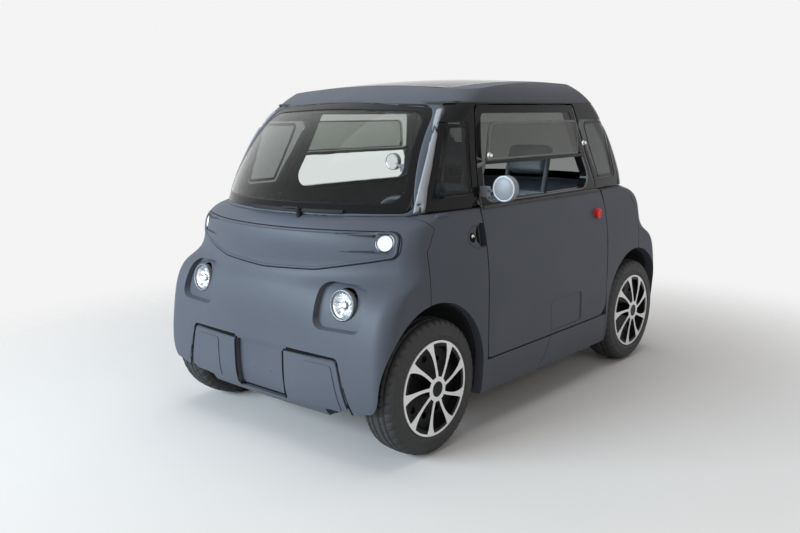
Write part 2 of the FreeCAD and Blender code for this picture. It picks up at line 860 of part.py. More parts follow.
glass_skin = glasshouse_form(size("glass_inset")).cut(
    glasshouse_form(size("glass_inset") + size("glass_thickness")))
above_belt = block((-OUT * 2, -OUT, belt + fit), (OUT * 2, OUT, 1700))
screen = glass_skin.common(screen_hole).common(above_belt)
sculpted("windscreen", screen)
sculpted("rear_window", turned(screen))
roof_glass = glass_skin.common(roof_hole)
sculpted("roof_glass", roof_glass)
quarter_glass = glass_skin.common(quarter_holes[0]).Solids + glass_skin.common(quarter_holes[1]).Solids
sculpted("quarter_glass", Part.makeCompound(quarter_glass + [turned(solid) for solid in quarter_glass]))

# Doors
door_wall = lower_wall.fuse(house_wall).common(door_blank)
window_corners = [
    (size("door_front_head") - door_gap - pillar, size("quarter_foot"), 55),
    (size("door_front_head") - door_gap - pillar, size("door_head") - door_gap - pillar, 20),
    (-size("door_rear_head") + door_gap + pillar, size("door_head") - door_gap - pillar, 20),
    (-size("door_rear_belt") + door_gap + pillar + 14, size("quarter_foot"), 55),
]
window_hole = side_prism(window_corners, 300, OUT)
transom_slab = block((-OUT, 0, size("flap_level") - size("transom_depth")), (OUT, OUT, size("flap_level") - fit))
transom = glasshouse_form(-size("transom_proud")).cut(glasshouse_form(size("frame_wall") / 2))
transom = transom.common(transom_slab).common(window_hole)
emboss = side_prism([
    (-size("emboss_rear"), size("emboss_foot"), 16),
    (size("emboss_front"), size("emboss_foot"), 16),
    (size("emboss_front"), size("emboss_head"), 16),
    (-size("emboss_rear"), size("emboss_head"), 16),
], 300, OUT).cut(lower_form(size("emboss_depth")))
door_shell = door_wall.cut([window_hole, emboss]).fuse([transom] + door_knuckles.Solids)
upper_half = block((-OUT, 0, size("flap_level")), (OUT, OUT, 1700))
door_pane = glass_skin.common(window_hole).common(upper_half)
flap_corners = [
    (size("door_front_head") - door_gap - pillar - 2, size("flap_level"), 0),
    (size("door_front_head") - door_gap - pillar - 2, size("flap_head"), 40),
    (-size("door_rear_head") + door_gap + pillar - 16, size("flap_head"), 40),
    (-size("door_rear_head") + door_gap + pillar - 60, size("flap_level"), 0),
]
flap_y = size("glass_knee_half_width") + 4
flap = side_prism(flap_corners, flap_y, flap_y + size("glass_thickness"))
flap.rotate(Vector(0, flap_y, size("flap_level")), FORWARD, -size("flap_lean") / 4)

mirror_disc = Part.makeCylinder(
    size("mirror_radius"), size("mirror_thickness"),
    Vector(size("mirror_place") - size("mirror_thickness") / 2, size("mirror_out"), size("mirror_height")), FORWARD)
mirror_arm = rod(Vector(size("door_front_head") - 40, 640, size("mirror_height") - 25),
                 Vector(size("mirror_place"), size("mirror_out") - 20, size("mirror_height") - 10), 7)
mirror_foot = block((size("door_front_head") - 40, 600, size("mirror_height") - 50),
                    (size("door_front_head") - 12, 650, size("mirror_height") - 6))
mirror = mirror_foot.fuse([mirror_arm, mirror_disc]).cut(glasshouse_form(-fit))
lock_disc = Part.makeCylinder(
    size("disc_radius"), size("disc_thickness"),
    Vector(-size("disc_place"), half_width - 26, size("disc_height")), LEFTWARD).cut(lower_form(-fit))
for side_name, place in (("left", lambda shape: shape), ("right", turned)):
    sculpted("door_panel_" + side_name, place(door_shell))
    sculpted("door_glass_" + side_name, place(Part.makeCompound([door_pane, flap])))
    sculpted("door_mirror_" + side_name, place(mirror))
sculpted("door_release_left", lock_disc)

# Floor with the bulkheads
inner_form = lower_form(wall + fit, 60)
floor = inner_form.common(block((-size("floor_half_length"), -OUT, size("floor_bottom")),
                                (size("floor_half_length"), OUT, size("floor_top"))))
bulkheads = []
for end in (1, -1):
    near = end * size("bulkhead")
    far = end * (size("bulkhead") + size("bulkhead_thickness"))
    bulkheads.append(block((min(near, far), -size("liner_inner") + 4, size("floor_top")),
                           (max(near, far), size("liner_inner") - 4, size("bulkhead_head"))))
sculpted("floor_pan", floor.fuse(bulkheads).cut(tunnels))

# Wheel arch liners, with a hole at the front for each tie rod
rod_level = size("steering_arm_height") + size("tie_rod_lift")
rack_x = axle + size("steering_arm")
for end_name, end in (("front", 1), ("rear", -1)):
    liners = []
    for side in (1, -1):
        near = size("liner_inner")
        far = half_width - wall - fit - 8
        if side < 0:
            near, far = -far, -near
        outer = arch_tunnel(liner_outer, end * axle, near, far)
        inner_near = near + size("liner_thickness") if side > 0 else near - 50
        inner_far = far + 50 if side > 0 else far - size("liner_thickness")
        inner = arch_tunnel(size("arch_radius"), end * axle, inner_near, inner_far)
        liner = outer.cut(inner).common(lower_form(wall + fit, 60))
        if end > 0:
            liner = liner.cut(rod(Vector(rack_x, -OUT, rod_level), Vector(rack_x, OUT, rod_level),
                                  size("tie_rod_radius") + 7))
        liners.append(liner.common(block((-OUT * 2, -OUT, size("sill_level")), (OUT * 2, OUT, 1000))))
    sculpted("wheel_liners_" + end_name, Part.makeCompound(liners))

# Dashboard and steering column
dash = side_prism([
    (size("dash_face"), size("dash_foot") + 60, 20),
    (size("dash_face") + 60, size("dash_foot"), 20),
    (size("dash_front"), size("dash_foot"), 0),
    (size("dash_front"), size("dash_head"), 20),
    (size("dash_face") + 40, size("dash_head"), 40),
], -size("dash_half"), size("dash_half"))
dash = dash.common(lower_form(wall + fit, 60)).cut(tunnels)
sculpted("dashboard", dash)

lean = math.radians(size("column_lean"))
wheel_centre = Vector(size("steering_wheel_place"), size("seat_side"), size("steering_wheel_height"))
column_axis = Vector(-math.cos(lean), 0, math.sin(lean))
column = rod(wheel_centre - column_axis * (30 + fit), wheel_centre - column_axis * 150, 30).cut(dash)
sculpted("steering_column", column.Solids[0])
rim = Part.makeTorus(size("wheel_rim_radius"), size("wheel_rim_tube"), wheel_centre, column_axis)
boss = rod(wheel_centre - column_axis * 30, wheel_centre + column_axis * 12, 42)
spokes = []
for angle in (0, 180, 90):
    spoke = block((-12, 0, -8), (12, size("wheel_rim_radius"), 4))
    spoke.rotate(Vector(), UPWARD, angle)
    spoke.Placement = Placement(wheel_centre, Rotation(UPWARD, column_axis)).multiply(spoke.Placement)
    spokes.append(spoke)
sculpted("steering_wheel", boss.fuse(spokes + [rim]))

# Seats: a shell carrying a seat pad, a back pad and an open headrest
for seat_name, side, setback in (("driver", 1, 0), ("passenger", -1, size("passenger_setback"))):
    front = size("driver_seat_front") - setback
    middle = side * size("seat_side")
    half_seat = size("seat_width") / 2
    rear = front - size("seat_length")
    tilt = math.tan(math.radians(size("seat_back_lean")))
    level = size("seat_height")
    thick = size("seat_shell")
    head = level + size("seat_back_height")
    shell = side_prism([
        (front, level - thick, 10),
        (rear, level - thick, 30),
        (rear - size("seat_back_height") * tilt, head, 8),
        (rear - size("seat_back_height") * tilt + thick, head, 8),
        (rear + thick, level, 20),
        (front, level, 10),
    ], middle - half_seat, middle + half_seat)
    shell = shell.common(front_prism([
        (middle - half_seat, level - thick - 1, 0),
        (middle + half_seat, level - thick - 1, 0),
        (middle + half_seat, head + 1, size("seat_back_corner")),
        (middle - half_seat, head + 1, size("seat_back_corner")),
    ], rear - half_length, front + 10))
    stand = block((rear + 40, middle - 130, size("floor_top") + fit), (front - 40, middle + 130, level - thick))
    tube = size("headrest_tube")
    head_x = rear - size("seat_back_height") * tilt + thick / 2
    top_x = head_x - size("headrest_height") * tilt
    half_rest = size("headrest_width") / 2
    posts = []
    for edge in (-1, 1):
        posts.append(rod(Vector(head_x, middle + edge * half_rest, head - 20),
                         Vector(top_x, middle + edge * half_rest, head + size("headrest_height")), tube))
    posts.append(rod(Vector(top_x, middle - half_rest, head + size("headrest_height")),
                     Vector(top_x, middle + half_rest, head + size("headrest_height")), tube))
    sculpted("seat_frame_" + seat_name, shell.fuse([stand] + posts))
    pad = size("seat_pad")
    inset = 24
    bottom_pad = side_prism([
        (front - 6, level + fit, 8),
        (rear + thick + pad + 30, level + fit, 8),
        (rear + thick + pad + 30, level + fit + pad, 12),
        (front - 6, level + fit + pad, 16),
    ], middle - half_seat + inset, middle + half_seat - inset)
    foot_level = level + pad + 26
    top_level = head - 40

    def back_x(height):
        return rear + thick - (height - level) * tilt + 2 * fit
    back_pad = side_prism([
        (back_x(foot_level), foot_level, 8),
        (back_x(foot_level) + pad, foot_level, 12),
        (back_x(top_level) + pad, top_level, 12),
        (back_x(top_level), top_level, 8),
    ], middle - half_seat + inset, middle + half_seat - inset)
    back_pad = back_pad.common(front_prism([
        (middle - half_seat + inset, foot_level - 40, 0),
        (middle + half_seat - inset, foot_level - 40, 0),
        (middle + half_seat - inset, top_level + 20, size("seat_back_corner")),
        (middle - half_seat + inset, top_level + 20, size("seat_back_corner")),
    ], rear - half_length, front + 10))
    sculpted("seat_pads_" + seat_name, Part.makeCompound([bottom_pad, back_pad]))

# Battery and motor
battery = block((-size("battery_length") / 2 - 60, -size("battery_width") / 2 + 90, size("floor_bottom") - size("battery_height") / 2),
                (size("battery_length") / 2 - 60, size("battery_width") / 2 - 90, size("floor_bottom")))
sculpted("battery", battery)
motor_x = size("bulkhead") + size("bulkhead_thickness") + fit + size("motor_radius")
motor_z = size("motor_height")
motor = rod(Vector(motor_x, -size("motor_length") / 2, motor_z), Vector(motor_x, size("motor_length") / 2, motor_z),
            size("motor_radius"))
sculpted("motor", motor)

# Front suspension
subframe = block((axle - 60, -size("arm_root_side"), size("subframe_bottom")),
                 (axle + 60, size("arm_root_side"), size("floor_bottom")))
sculpted("front_subframe", subframe)
arms = []
mounts = []
kingpin_foot = Vector(axle, size("kingpin_foot_side"), size("kingpin_foot_height"))
kingpin_head = Vector(axle, size("kingpin_head_side"), size("kingpin_head_height"))
kingpin = (kingpin_head - kingpin_foot).normalize()
arm_top = size("kingpin_foot_height") + 8
for side in (1, -1):
    start = size("arm_root_side") + fit
    end_y = size("kingpin_foot_side") + 12
    arm = top_prism([
        (axle - 55, start, 0),
        (axle + 55, start, 0),
        (axle + size("arm_width") / 2, end_y, 18),
        (axle - size("arm_width") / 2, end_y, 18),
    ], arm_top - size("arm_thickness"), arm_top)
    mount = rod(kingpin_head + kingpin * fit, kingpin_head + kingpin * 60, 46)
    mount = mount.common(arch_tunnel(size("arch_radius") - fit, axle, size("liner_inner") + 10, OUT))
    if side < 0:
        arm = mirrored(arm, LEFTWARD)
        mount = mirrored(mount, LEFTWARD)
    arms.append(arm)
    mounts.append(mount)
sculpted("front_arms", Part.makeCompound(arms))
sculpted("strut_mounts", Part.makeCompound(mounts))

# Rear axle: beam, trailing arms, hanger pads and stub axles in one weldment
pivot_level = size("trailing_pivot_height")
arm_radius = size("trailing_arm_radius")
beam_x = -size("trailing_pivot") - 110
beam = rod(Vector(beam_x, -size("rear_beam_side"), pivot_level), Vector(beam_x, size("rear_beam_side"), pivot_level),
           size("rear_tube_radius"))
parts = []
dampers = []
damper_foot = tyre_radius + 38
for side in (1, -1):
    beam_y = side * size("rear_beam_side")
    parts.append(rod(Vector(-size("trailing_pivot"), beam_y, pivot_level), Vector(-axle, beam_y, tyre_radius - 10),
                     arm_radius))
    parts.append(block((-size("trailing_pivot") - 4, beam_y - 20, pivot_level - arm_radius),
                       (-size("trailing_pivot") + 36, beam_y + 20, size("floor_bottom") - fit)))
    parts.append(rod(Vector(-axle, beam_y - side * 24, tyre_radius), Vector(-axle, side * 540, tyre_radius), 34))
    parts.append(block((-axle - 30, beam_y - 30, tyre_radius), (-axle + 30, beam_y + 30, damper_foot)))
    parts.append(rod(Vector(-axle, side * 540, tyre_radius), Vector(-axle, side * (wheel_side + 20), tyre_radius),
                     size("spindle_radius")))
    damper = rod(Vector(-axle, beam_y, damper_foot + fit), Vector(-axle, beam_y, 700), size("damper_radius"))
    dampers.append(damper.common(arch_tunnel(size("arch_radius") - fit, -axle, -OUT, OUT)))
sculpted("rear_axle", beam.fuse(parts))
sculpted("rear_dampers", Part.makeCompound(dampers))

# Knuckles: strut tube, upright, spindle and steering arm
arm_level = size("steering_arm_height")
for side_name, side in (("left", 1), ("right", -1)):
    strut = rod(kingpin_foot + kingpin * 175, kingpin_head, size("strut_radius"))
    foot = rod(kingpin_foot + kingpin * (arm_top + size("ball_joint_gap") - kingpin_foot.z), kingpin_foot + kingpin * 60, 15)
    upright = block((axle - size("upright_width") / 2, 508, 168),
                    (axle + size("upright_width") / 2, 556, 345))
    spindle = rod(Vector(axle, 540, tyre_radius), Vector(axle, wheel_side + 20, tyre_radius), size("spindle_radius"))
    arm = block((axle, 520, arm_level - size("steering_arm_thickness") / 2),
                (axle + size("steering_arm") + 12, 548, arm_level + size("steering_arm_thickness") / 2))
    knuckle = upright.fuse([strut, foot, spindle, arm])
    if side < 0:
        knuckle = mirrored(knuckle, LEFTWARD)
    sculpted("knuckle_" + side_name, knuckle)

rod_end = Vector(rack_x, 534, rod_level)
rod_root = Vector(rack_x, size("rack_half") + 50, rod_level)
rack = rod(Vector(rack_x, -rod_root.y, rod_level), rod_root, size("rack_radius"))
sticks = []
for side in (1, -1):
    start = Vector(rack_x, side * rod_root.y, rod_level)
    end = Vector(rack_x, side * rod_end.y, rod_level)
    sticks.append(rod(start, end, size("tie_rod_radius")))
    sticks.append(Part.makeCylinder(14, 20, Vector(rack_x, side * rod_end.y, rod_level - 10), UPWARD))
sculpted("steering_rack", rack.fuse(sticks))
housing_bore = rod(Vector(rack_x, -400, rod_level), Vector(rack_x, 400, rod_level), size("rack_radius") + fit)
housing = rod(Vector(rack_x, -size("rack_half"), rod_level), Vector(rack_x, size("rack_half"), rod_level),
              size("rack_radius") + 12)
brackets = []
for side in (1, -1):
    brackets.append(block((size("bulkhead") + size("bulkhead_thickness") + fit, side * 180 - 20, rod_level - 18),
                          (rack_x, side * 180 + 20, rod_level + 18)))
sculpted("rack_housing", housing.fuse(brackets).cut(housing_bore))

# Wiper parked along the foot of the windscreen, its blade lying on the glass
blade_radius = size("wiper_radius")
blade_level = size("wiper_height")
wiper_band = block((700, -size("wiper_far_end"), blade_level - blade_radius),
                   (1300, size("wiper_near_end"), blade_level + blade_radius))
over_glass = glasshouse_form(size("glass_inset") - fit)
blade = glasshouse_form(-2 * blade_radius).cut(over_glass).common(wiper_band)
pivot_foot = Vector(size("wiper_pivot_place"), size("wiper_pivot_side"), belt - 30)
pivot_head = Vector(size("wiper_pivot_place") + 6, size("wiper_pivot_side"), blade_level + 8)
pivot = rod(pivot_foot, pivot_head, 10)
elbow = Vector(size("wiper_pivot_place") + 12, size("wiper_pivot_side") / 2, blade_level + 6)
wiper_arm = rod(pivot_head, elbow, 5)
wiper = blade.fuse([pivot.cut(lower_form(-fit)).cut(over_glass), wiper_arm.cut(over_glass)])
sculpted("wiper", wiper)

# Wheels: a steel dish with vent holes under an open cover with swept spokes. A wheel is drawn
# about the vertical axis, with its outer face upwards.
def turned_outline(points):
    wire = Part.makePolygon([Vector(radius, 0, level) for radius, level in points + points[:1]])
    return Part.Face(wire).revolve(Vector(), UPWARD, 360)


def spoke_point(radius, angle):
    return Vector(radius * math.cos(angle), radius * math.sin(angle), 0)


def cover_spoke(turn):
    """One spoke: narrow at the hub, swept backwards, and flared where it meets the ring."""
    start = size("hubcap_hub_radius") - 4
    finish = size("hubcap_radius") - size("hubcap_ring") + 2
    edges = []
    for edge in (-1, 1):
        points = []
        for share, width in ((0, 1.0), (0.3, 0.9), (0.6, 1.2), (0.85, 2.1), (1, 3.3)):
            radius = start + (finish - start) * share
            half_angle = size("spoke_waist") / 2 * width / radius
            sweep = math.radians(size("spoke_sweep")) * share
            points.append(spoke_point(radius, turn + sweep + edge * half_angle))
        curve = Part.BSplineCurve()
        curve.interpolate(points)
        edges.append(curve.toShape())
    near = Part.makeLine(edges[0].valueAt(edges[0].FirstParameter), edges[1].valueAt(edges[1].FirstParameter))
    far = Part.makeLine(edges[0].valueAt(edges[0].LastParameter), edges[1].valueAt(edges[1].LastParameter))
    outline = Part.Wire(Part.sortEdges([edges[0], far, edges[1], near])[0])
    return Part.Face(outline).extrude(Vector(0, 0, 2 * size("hubcap_centre_face")))


def wheel_and_cover():
    rim_face = size("rim_width") / 2
    inner_rim = size("rim_radius") - size("rim_lip")
    bore = size("spindle_radius") + size("bearing_clearance")
    hub_face = size("hub_length") / 2
    dish = turned_outline([
        (bore, -hub_face),
        (size("hub_radius"), -hub_face),
        (size("hub_radius"), hub_face - 8),
        (inner_rim - 16, rim_face - 34),
        (inner_rim, -rim_face + 8),
        (inner_rim, -rim_face),
        (size("rim_radius"), -rim_face),
        (size("rim_radius"), rim_face),
        (inner_rim, rim_face),
        (inner_rim - 6, rim_face - 26),
        (size("hub_radius"), hub_face),
        (bore, hub_face),
    ])
    vents = []
    for index in range(int(size("vent_count"))):
        centre = spoke_point(size("vent_circle"), math.radians(360 * index / size("vent_count")))
        vents.append(Part.makeCylinder(size("vent_radius"), 2 * rim_face, centre - UPWARD * rim_face))
    dish = dish.cut(vents)
    ring_face = size("hubcap_ring_face")
    centre_face = size("hubcap_centre_face")
    thickness = size("hubcap_thickness")
    ring_inner = size("hubcap_radius") - size("hubcap_ring")
    hub_radius = size("hubcap_hub_radius")
    ring = turned_outline([
        (inner_rim, rim_face - 1),
        (size("rim_radius"), rim_face - 1),
        (size("rim_radius"), ring_face - thickness),
        (size("hubcap_radius"), ring_face - thickness),
        (size("hubcap_radius"), ring_face),
        (ring_inner, ring_face),
        (ring_inner, ring_face - thickness / 2),
        (inner_rim, ring_face - thickness / 2),
    ])
    cap_radius = size("cap_radius")
    hub = turned_outline([
        (0, hub_face - 6),
        (cap_radius + 6, hub_face - 6),
        (cap_radius + 6, centre_face - 3 * thickness),
        (hub_radius, centre_face - thickness),
        (hub_radius, centre_face - 1),
        (cap_radius + 1, centre_face),
        (cap_radius, centre_face - 2),
        (0, centre_face - 2),
    ])
    face_cone = turned_outline([
        (hub_radius - 6, centre_face - thickness),
        (ring_inner + 4, ring_face - thickness),
        (ring_inner + 4, ring_face - 0.2),
        (hub_radius - 6, centre_face - 1),
    ])
    spokes = []
    for index in range(int(size("hubcap_spokes"))):
        turn = math.radians(360 * index / size("hubcap_spokes") + size("spoke_start"))
        spokes.append(cover_spoke(turn).common(face_cone))
    wheel = dish.fuse([ring, hub] + spokes)
    spindle_room = Part.makeCylinder(bore, hub_face + wheel_side, Vector(0, 0, -wheel_side))
    return wheel.cut(spindle_room).removeSplitter()


def place_wheel(shape, end, side):
    copy = shape.copy()
    copy.rotate(Vector(), FORWARD, -90 * side)
    copy.translate(Vector(end * axle, side * wheel_side, tyre_radius))
    return copy


# Tyres
road_wheel = wheel_and_cover()
for end_name, end in (("front", 1), ("rear", -1)):
    for side_name, side in (("left", 1), ("right", -1)):
        label = end_name + "_" + side_name
        outward = Rotation(FORWARD, -90 * side)
        place = ("wheelbase / 2 * %d" % end, "track / 2 * %d" % side, "tyre_radius")
        revolved("tyre_" + label, [
            ("rim_radius + bearing_clearance", "-rim_width / 2"),
            ("rim_radius + 26", "-tyre_width / 2 + 3"),
            ("tyre_radius - 52", "-tyre_width / 2"),
            ("tyre_radius - 14", "-tread_width / 2 - 12"),
            ("tyre_radius - 5", "-tread_width / 2"),
            ("tyre_radius", "-tread_width / 3"),
            ("tyre_radius", "tread_width / 3"),
            ("tyre_radius - 5", "tread_width / 2"),
            ("tyre_radius - 14", "tread_width / 2 + 12"),
            ("tyre_radius - 52", "tyre_width / 2"),
            ("rim_radius + 26", "tyre_width / 2 - 3"),
            ("rim_radius + bearing_clearance", "rim_width / 2"),
        ], place, outward)
        wheel = place_wheel(road_wheel, end, side)
        sculpted("wheel_" + label, wheel)

document.recompute()
for item in document.Objects:
    if "Invalid" in item.State or "Error" in item.State:
        raise RuntimeError("%s is in state %s" % (item.Label, item.State))
faulty = [label for label, item in PARTS.items() if item.Shape.isNull() or not item.Shape.isValid()]
if faulty:
    raise RuntimeError("no valid shape: " + ", ".join(faulty))

os.makedirs("parts", exist_ok=True)
for label, item in PARTS.items():
    item.Shape.exportStep("parts/%s.step" % label)
print("%d nodes written" % len(PARTS))
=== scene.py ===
import json
import math

import bmesh
import bpy
from mathutils import Matrix, Vector
from mathutils.bvhtree import BVHTree


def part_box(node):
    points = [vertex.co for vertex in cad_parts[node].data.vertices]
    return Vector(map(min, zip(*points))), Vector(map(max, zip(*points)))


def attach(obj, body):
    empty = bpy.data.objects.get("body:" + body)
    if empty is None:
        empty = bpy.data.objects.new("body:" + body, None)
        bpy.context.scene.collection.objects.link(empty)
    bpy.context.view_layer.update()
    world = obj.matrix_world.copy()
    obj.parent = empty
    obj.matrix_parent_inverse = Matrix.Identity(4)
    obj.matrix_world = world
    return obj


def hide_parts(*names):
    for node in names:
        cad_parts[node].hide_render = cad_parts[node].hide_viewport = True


# A two-seat electric microcar. Metres; +X is forward, +Y is the car's left, +Z is up.
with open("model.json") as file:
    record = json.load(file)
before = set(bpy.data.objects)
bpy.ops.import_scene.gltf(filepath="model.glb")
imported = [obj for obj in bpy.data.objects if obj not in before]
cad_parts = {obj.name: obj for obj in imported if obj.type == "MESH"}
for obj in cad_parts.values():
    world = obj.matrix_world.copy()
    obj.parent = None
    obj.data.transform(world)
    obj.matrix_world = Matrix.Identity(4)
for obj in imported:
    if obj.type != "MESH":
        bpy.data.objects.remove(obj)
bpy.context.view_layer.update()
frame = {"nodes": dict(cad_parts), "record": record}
nodes = frame["nodes"]

# Camera of the photograph
CAMERA_PLACE = Vector((3.3421, 2.6476, 1.3563))
CAMERA_YAW = 3.8568
CAMERA_PITCH = -0.1827
CAMERA_ROLL = -0.0071
FOCAL_PIXELS = 832.28
IMAGE_WIDTH = 800
SENSOR_WIDTH = 36.0

SIDES = {"left": 1, "right": -1}
ENDS = {"front": 1, "rear": -1}
CORNERS = [(end, side) for end in ENDS for side in SIDES]
WHEEL_LEVEL = 0.2785
AXLE = 0.865
WHEEL_SIDE = 0.6


# Node trees
class Material:
    """One procedural material: a Principled shader with short calls for what feeds it."""

    def __init__(self, name, colour, roughness, **sockets):
        self.material = bpy.data.materials.new(name)
        self.material.use_nodes = True
        self.tree = self.material.node_tree
        self.shader = self.tree.nodes["Principled BSDF"]
        self.output = self.tree.nodes["Material Output"]
        self.shader.inputs["Base Color"].default_value = (*colour, 1)
        self.shader.inputs["Roughness"].default_value = roughness
        for socket, value in sockets.items():
            self.shader.inputs[socket.replace("_", " ")].default_value = value
        self.place = self.add("ShaderNodeTexCoord").outputs["Object"]

    def add(self, kind, **settings):
        node = self.tree.nodes.new(kind)
        for key, value in settings.items():
            setattr(node, key, value)
        return node

    def join(self, source, target):
        """Feeds a socket with another socket, a colour or a number."""
        if isinstance(source, bpy.types.NodeSocket):
            self.tree.links.new(source, target)
        elif isinstance(source, tuple):
            target.default_value = (*source, 1)
        else:
            target.default_value = source

    def noise(self, scale, detail=3):
        node = self.add("ShaderNodeTexNoise")
        node.inputs["Scale"].default_value = scale
        node.inputs["Detail"].default_value = detail
        self.join(self.place, node.inputs["Vector"])
        return node.outputs["Fac"]

    def cells(self, scale):
        node = self.add("ShaderNodeTexVoronoi")
        node.inputs["Scale"].default_value = scale
        self.join(self.place, node.inputs["Vector"])
        return node.outputs["Distance"]

    def axis(self, letter):
        node = self.add("ShaderNodeSeparateXYZ")
        self.join(self.place, node.inputs["Vector"])
        return node.outputs[letter]

    def maths(self, operation, first, second=0.0, third=0.0):
        node = self.add("ShaderNodeMath", operation=operation)
        for source, socket in zip((first, second, third), node.inputs):
            self.join(source, socket)
        return node.outputs["Value"]

    def spread(self, source, low, high, to_low=0.0, to_high=1.0):
        """Maps low..high to to_low..to_high, held at both ends."""
        node = self.add("ShaderNodeMapRange")
        for socket, value in zip(("Value", "From Min", "From Max", "To Min", "To Max"),
                                 (source, low, high, to_low, to_high)):
            self.join(value, node.inputs[socket])
        return node.outputs["Result"]

    def mix(self, factor, first, second):
        node = self.add("ShaderNodeMix", data_type="RGBA")
        self.join(factor, node.inputs["Factor"])
        colours = [socket for socket in node.inputs if socket.type == "RGBA"]
        self.join(first, colours[0])
        self.join(second, colours[1])
        return [socket for socket in node.outputs if socket.type == "RGBA"][0]

    def bump(self, height, depth):
        """Bump of the given depth in metres, on top of any bump made before."""
        node = self.add("ShaderNodeBump")
        node.inputs["Distance"].default_value = depth
        node.inputs["Strength"].default_value = 1.0
        self.join(height, node.inputs["Height"])
        before = self.shader.inputs["Normal"]
        if before.is_linked:
            self.join(before.links[0].from_socket, node.inputs["Normal"])
        self.join(node.outputs["Normal"], before)

    def colour(self, source):
        self.join(source, self.shader.inputs["Base Color"])

    def rough(self, source):
        self.join(source, self.shader.inputs["Roughness"])

    def lets_lamps_through(self, tint):
        """Rays towards a lamp pass the glass straight, with a tint."""
        clear = self.add("ShaderNodeBsdfTransparent")
        clear.inputs["Color"].default_value = (*tint, 1)
        path = self.add("ShaderNodeLightPath")
        blend = self.add("ShaderNodeMixShader")
        self.join(path.outputs["Is Shadow Ray"], blend.inputs["Fac"])
        self.join(self.shader.outputs["BSDF"], blend.inputs[1])
        self.join(clear.outputs["BSDF"], blend.inputs[2])
        self.join(blend.outputs["Shader"], self.output.inputs["Surface"])


FILM_DARK = (0.066, 0.073, 0.09)
FILM_PALE = (0.078, 0.085, 0.103)
FILM_PLAIN = (0.1, 0.108, 0.125)
FILM_SHINE = 0.28
GLOSS_BLACK = (0.008, 0.008, 0.009)
GLOSS_ROUGHNESS = 0.12
GLOSS_SHINE = 0.15
BELT_LEVEL = 0.963
ROOF_LEVEL = 1.398
PILLAR_FOOT = (0.841, 0.965)
PILLAR_SLOPE = 0.42


def film_tone(film):
    """Anthracite with faint cloudy patches."""
    return film.mix(film.spread(film.noise(2.2, 4), 0.35, 0.65), FILM_DARK, FILM_PALE)


def film_grain(film):
    """Roughness of the satin grain."""
    return film.spread(film.noise(900, 2), 0.3, 0.7, 0.46, 0.58)


def body_film():
    """Matte anthracite film with a fine satin grain."""
    film = Material("body_film", FILM_PLAIN, 0.5, Specular_IOR_Level=FILM_SHINE)
    film.colour(film_tone(film))
    film.rough(film_grain(film))
    film.bump(film.noise(1400, 2), 0.00004)
    film.bump(film.noise(35, 2), 0.0002)
    return film.material


def glass(name, colour, tint, density=1.25):
    pane = Material(name, colour, 0.0, Transmission_Weight=1.0, IOR=density)
    pane.rough(pane.spread(pane.noise(6, 3), 0.4, 0.75, 0.0, 0.02))
    pane.lets_lamps_through(tint)
    return pane.material


def moulded(name, colour, roughness, grain=0.00012, scale=900, shine=0.5):
    """Moulded plastic with a leather-like grain."""
    part = Material(name, colour, roughness, Specular_IOR_Level=shine)
    shade = part.spread(part.noise(14, 4), 0.35, 0.65, 0.88, 1.12)
    tint = part.mix(shade, tuple(c * 0.7 for c in colour), tuple(c * 1.15 for c in colour))
    part.colour(tint)
    part.rough(part.spread(part.noise(40, 3), 0.3, 0.7, roughness - 0.06, roughness + 0.08))
    part.bump(part.cells(scale), grain)
    return part.material


def house_film():
    """Glasshouse frame: body film on the roof and the end pillars, black gloss between the windows."""
    film = Material("house_film", FILM_PLAIN, 0.5)
    along, height = film.maths("ABSOLUTE", film.axis("X")), film.axis("Z")
    foot_x, foot_z = PILLAR_FOOT
    edge = film.maths("MULTIPLY_ADD", height, -PILLAR_SLOPE, foot_x + PILLAR_SLOPE * foot_z)
    pillar = film.maths("GREATER_THAN", film.maths("SUBTRACT", along, edge), 0.0)
    inward = film.maths("LESS_THAN", film.maths("ABSOLUTE", film.axis("Y")), 0.5)
    header = film.maths("MULTIPLY", inward, film.maths("GREATER_THAN", along, 0.5))
    roof = film.maths("MAXIMUM", film.maths("GREATER_THAN", height, ROOF_LEVEL), header)
    painted = film.maths("MAXIMUM", pillar, roof)
    film.colour(film.mix(painted, GLOSS_BLACK, film_tone(film)))
    film.rough(film.spread(painted, 0, 1, GLOSS_ROUGHNESS, film_grain(film)))
    film.join(film.spread(painted, 0, 1, GLOSS_SHINE, FILM_SHINE), film.shader.inputs["Specular IOR Level"])
    film.bump(film.maths("MULTIPLY", film.noise(1400, 2), painted), 0.00004)
    return film.material


def door_film():
    """Door: body film up to the belt, black gloss round the window."""
    film = Material("door_film", FILM_PLAIN, 0.5)
    above = film.maths("GREATER_THAN", film.axis("Z"), BELT_LEVEL)
    film.colour(film.mix(above, film_tone(film), GLOSS_BLACK))
    film.rough(film.spread(above, 0, 1, film_grain(film), GLOSS_ROUGHNESS))
    film.join(film.spread(above, 0, 1, FILM_SHINE, GLOSS_SHINE), film.shader.inputs["Specular IOR Level"])
    film.bump(film.noise(1400, 2), 0.00004)
    film.bump(film.noise(35, 2), 0.0002)
    return film.material


COVER_FACE = (0.185, 0.0773)
COVER_SLOPE = 0.0706
COVER_RIM = (0.1848, 0.0745)
COVER_HUB = 0.0315


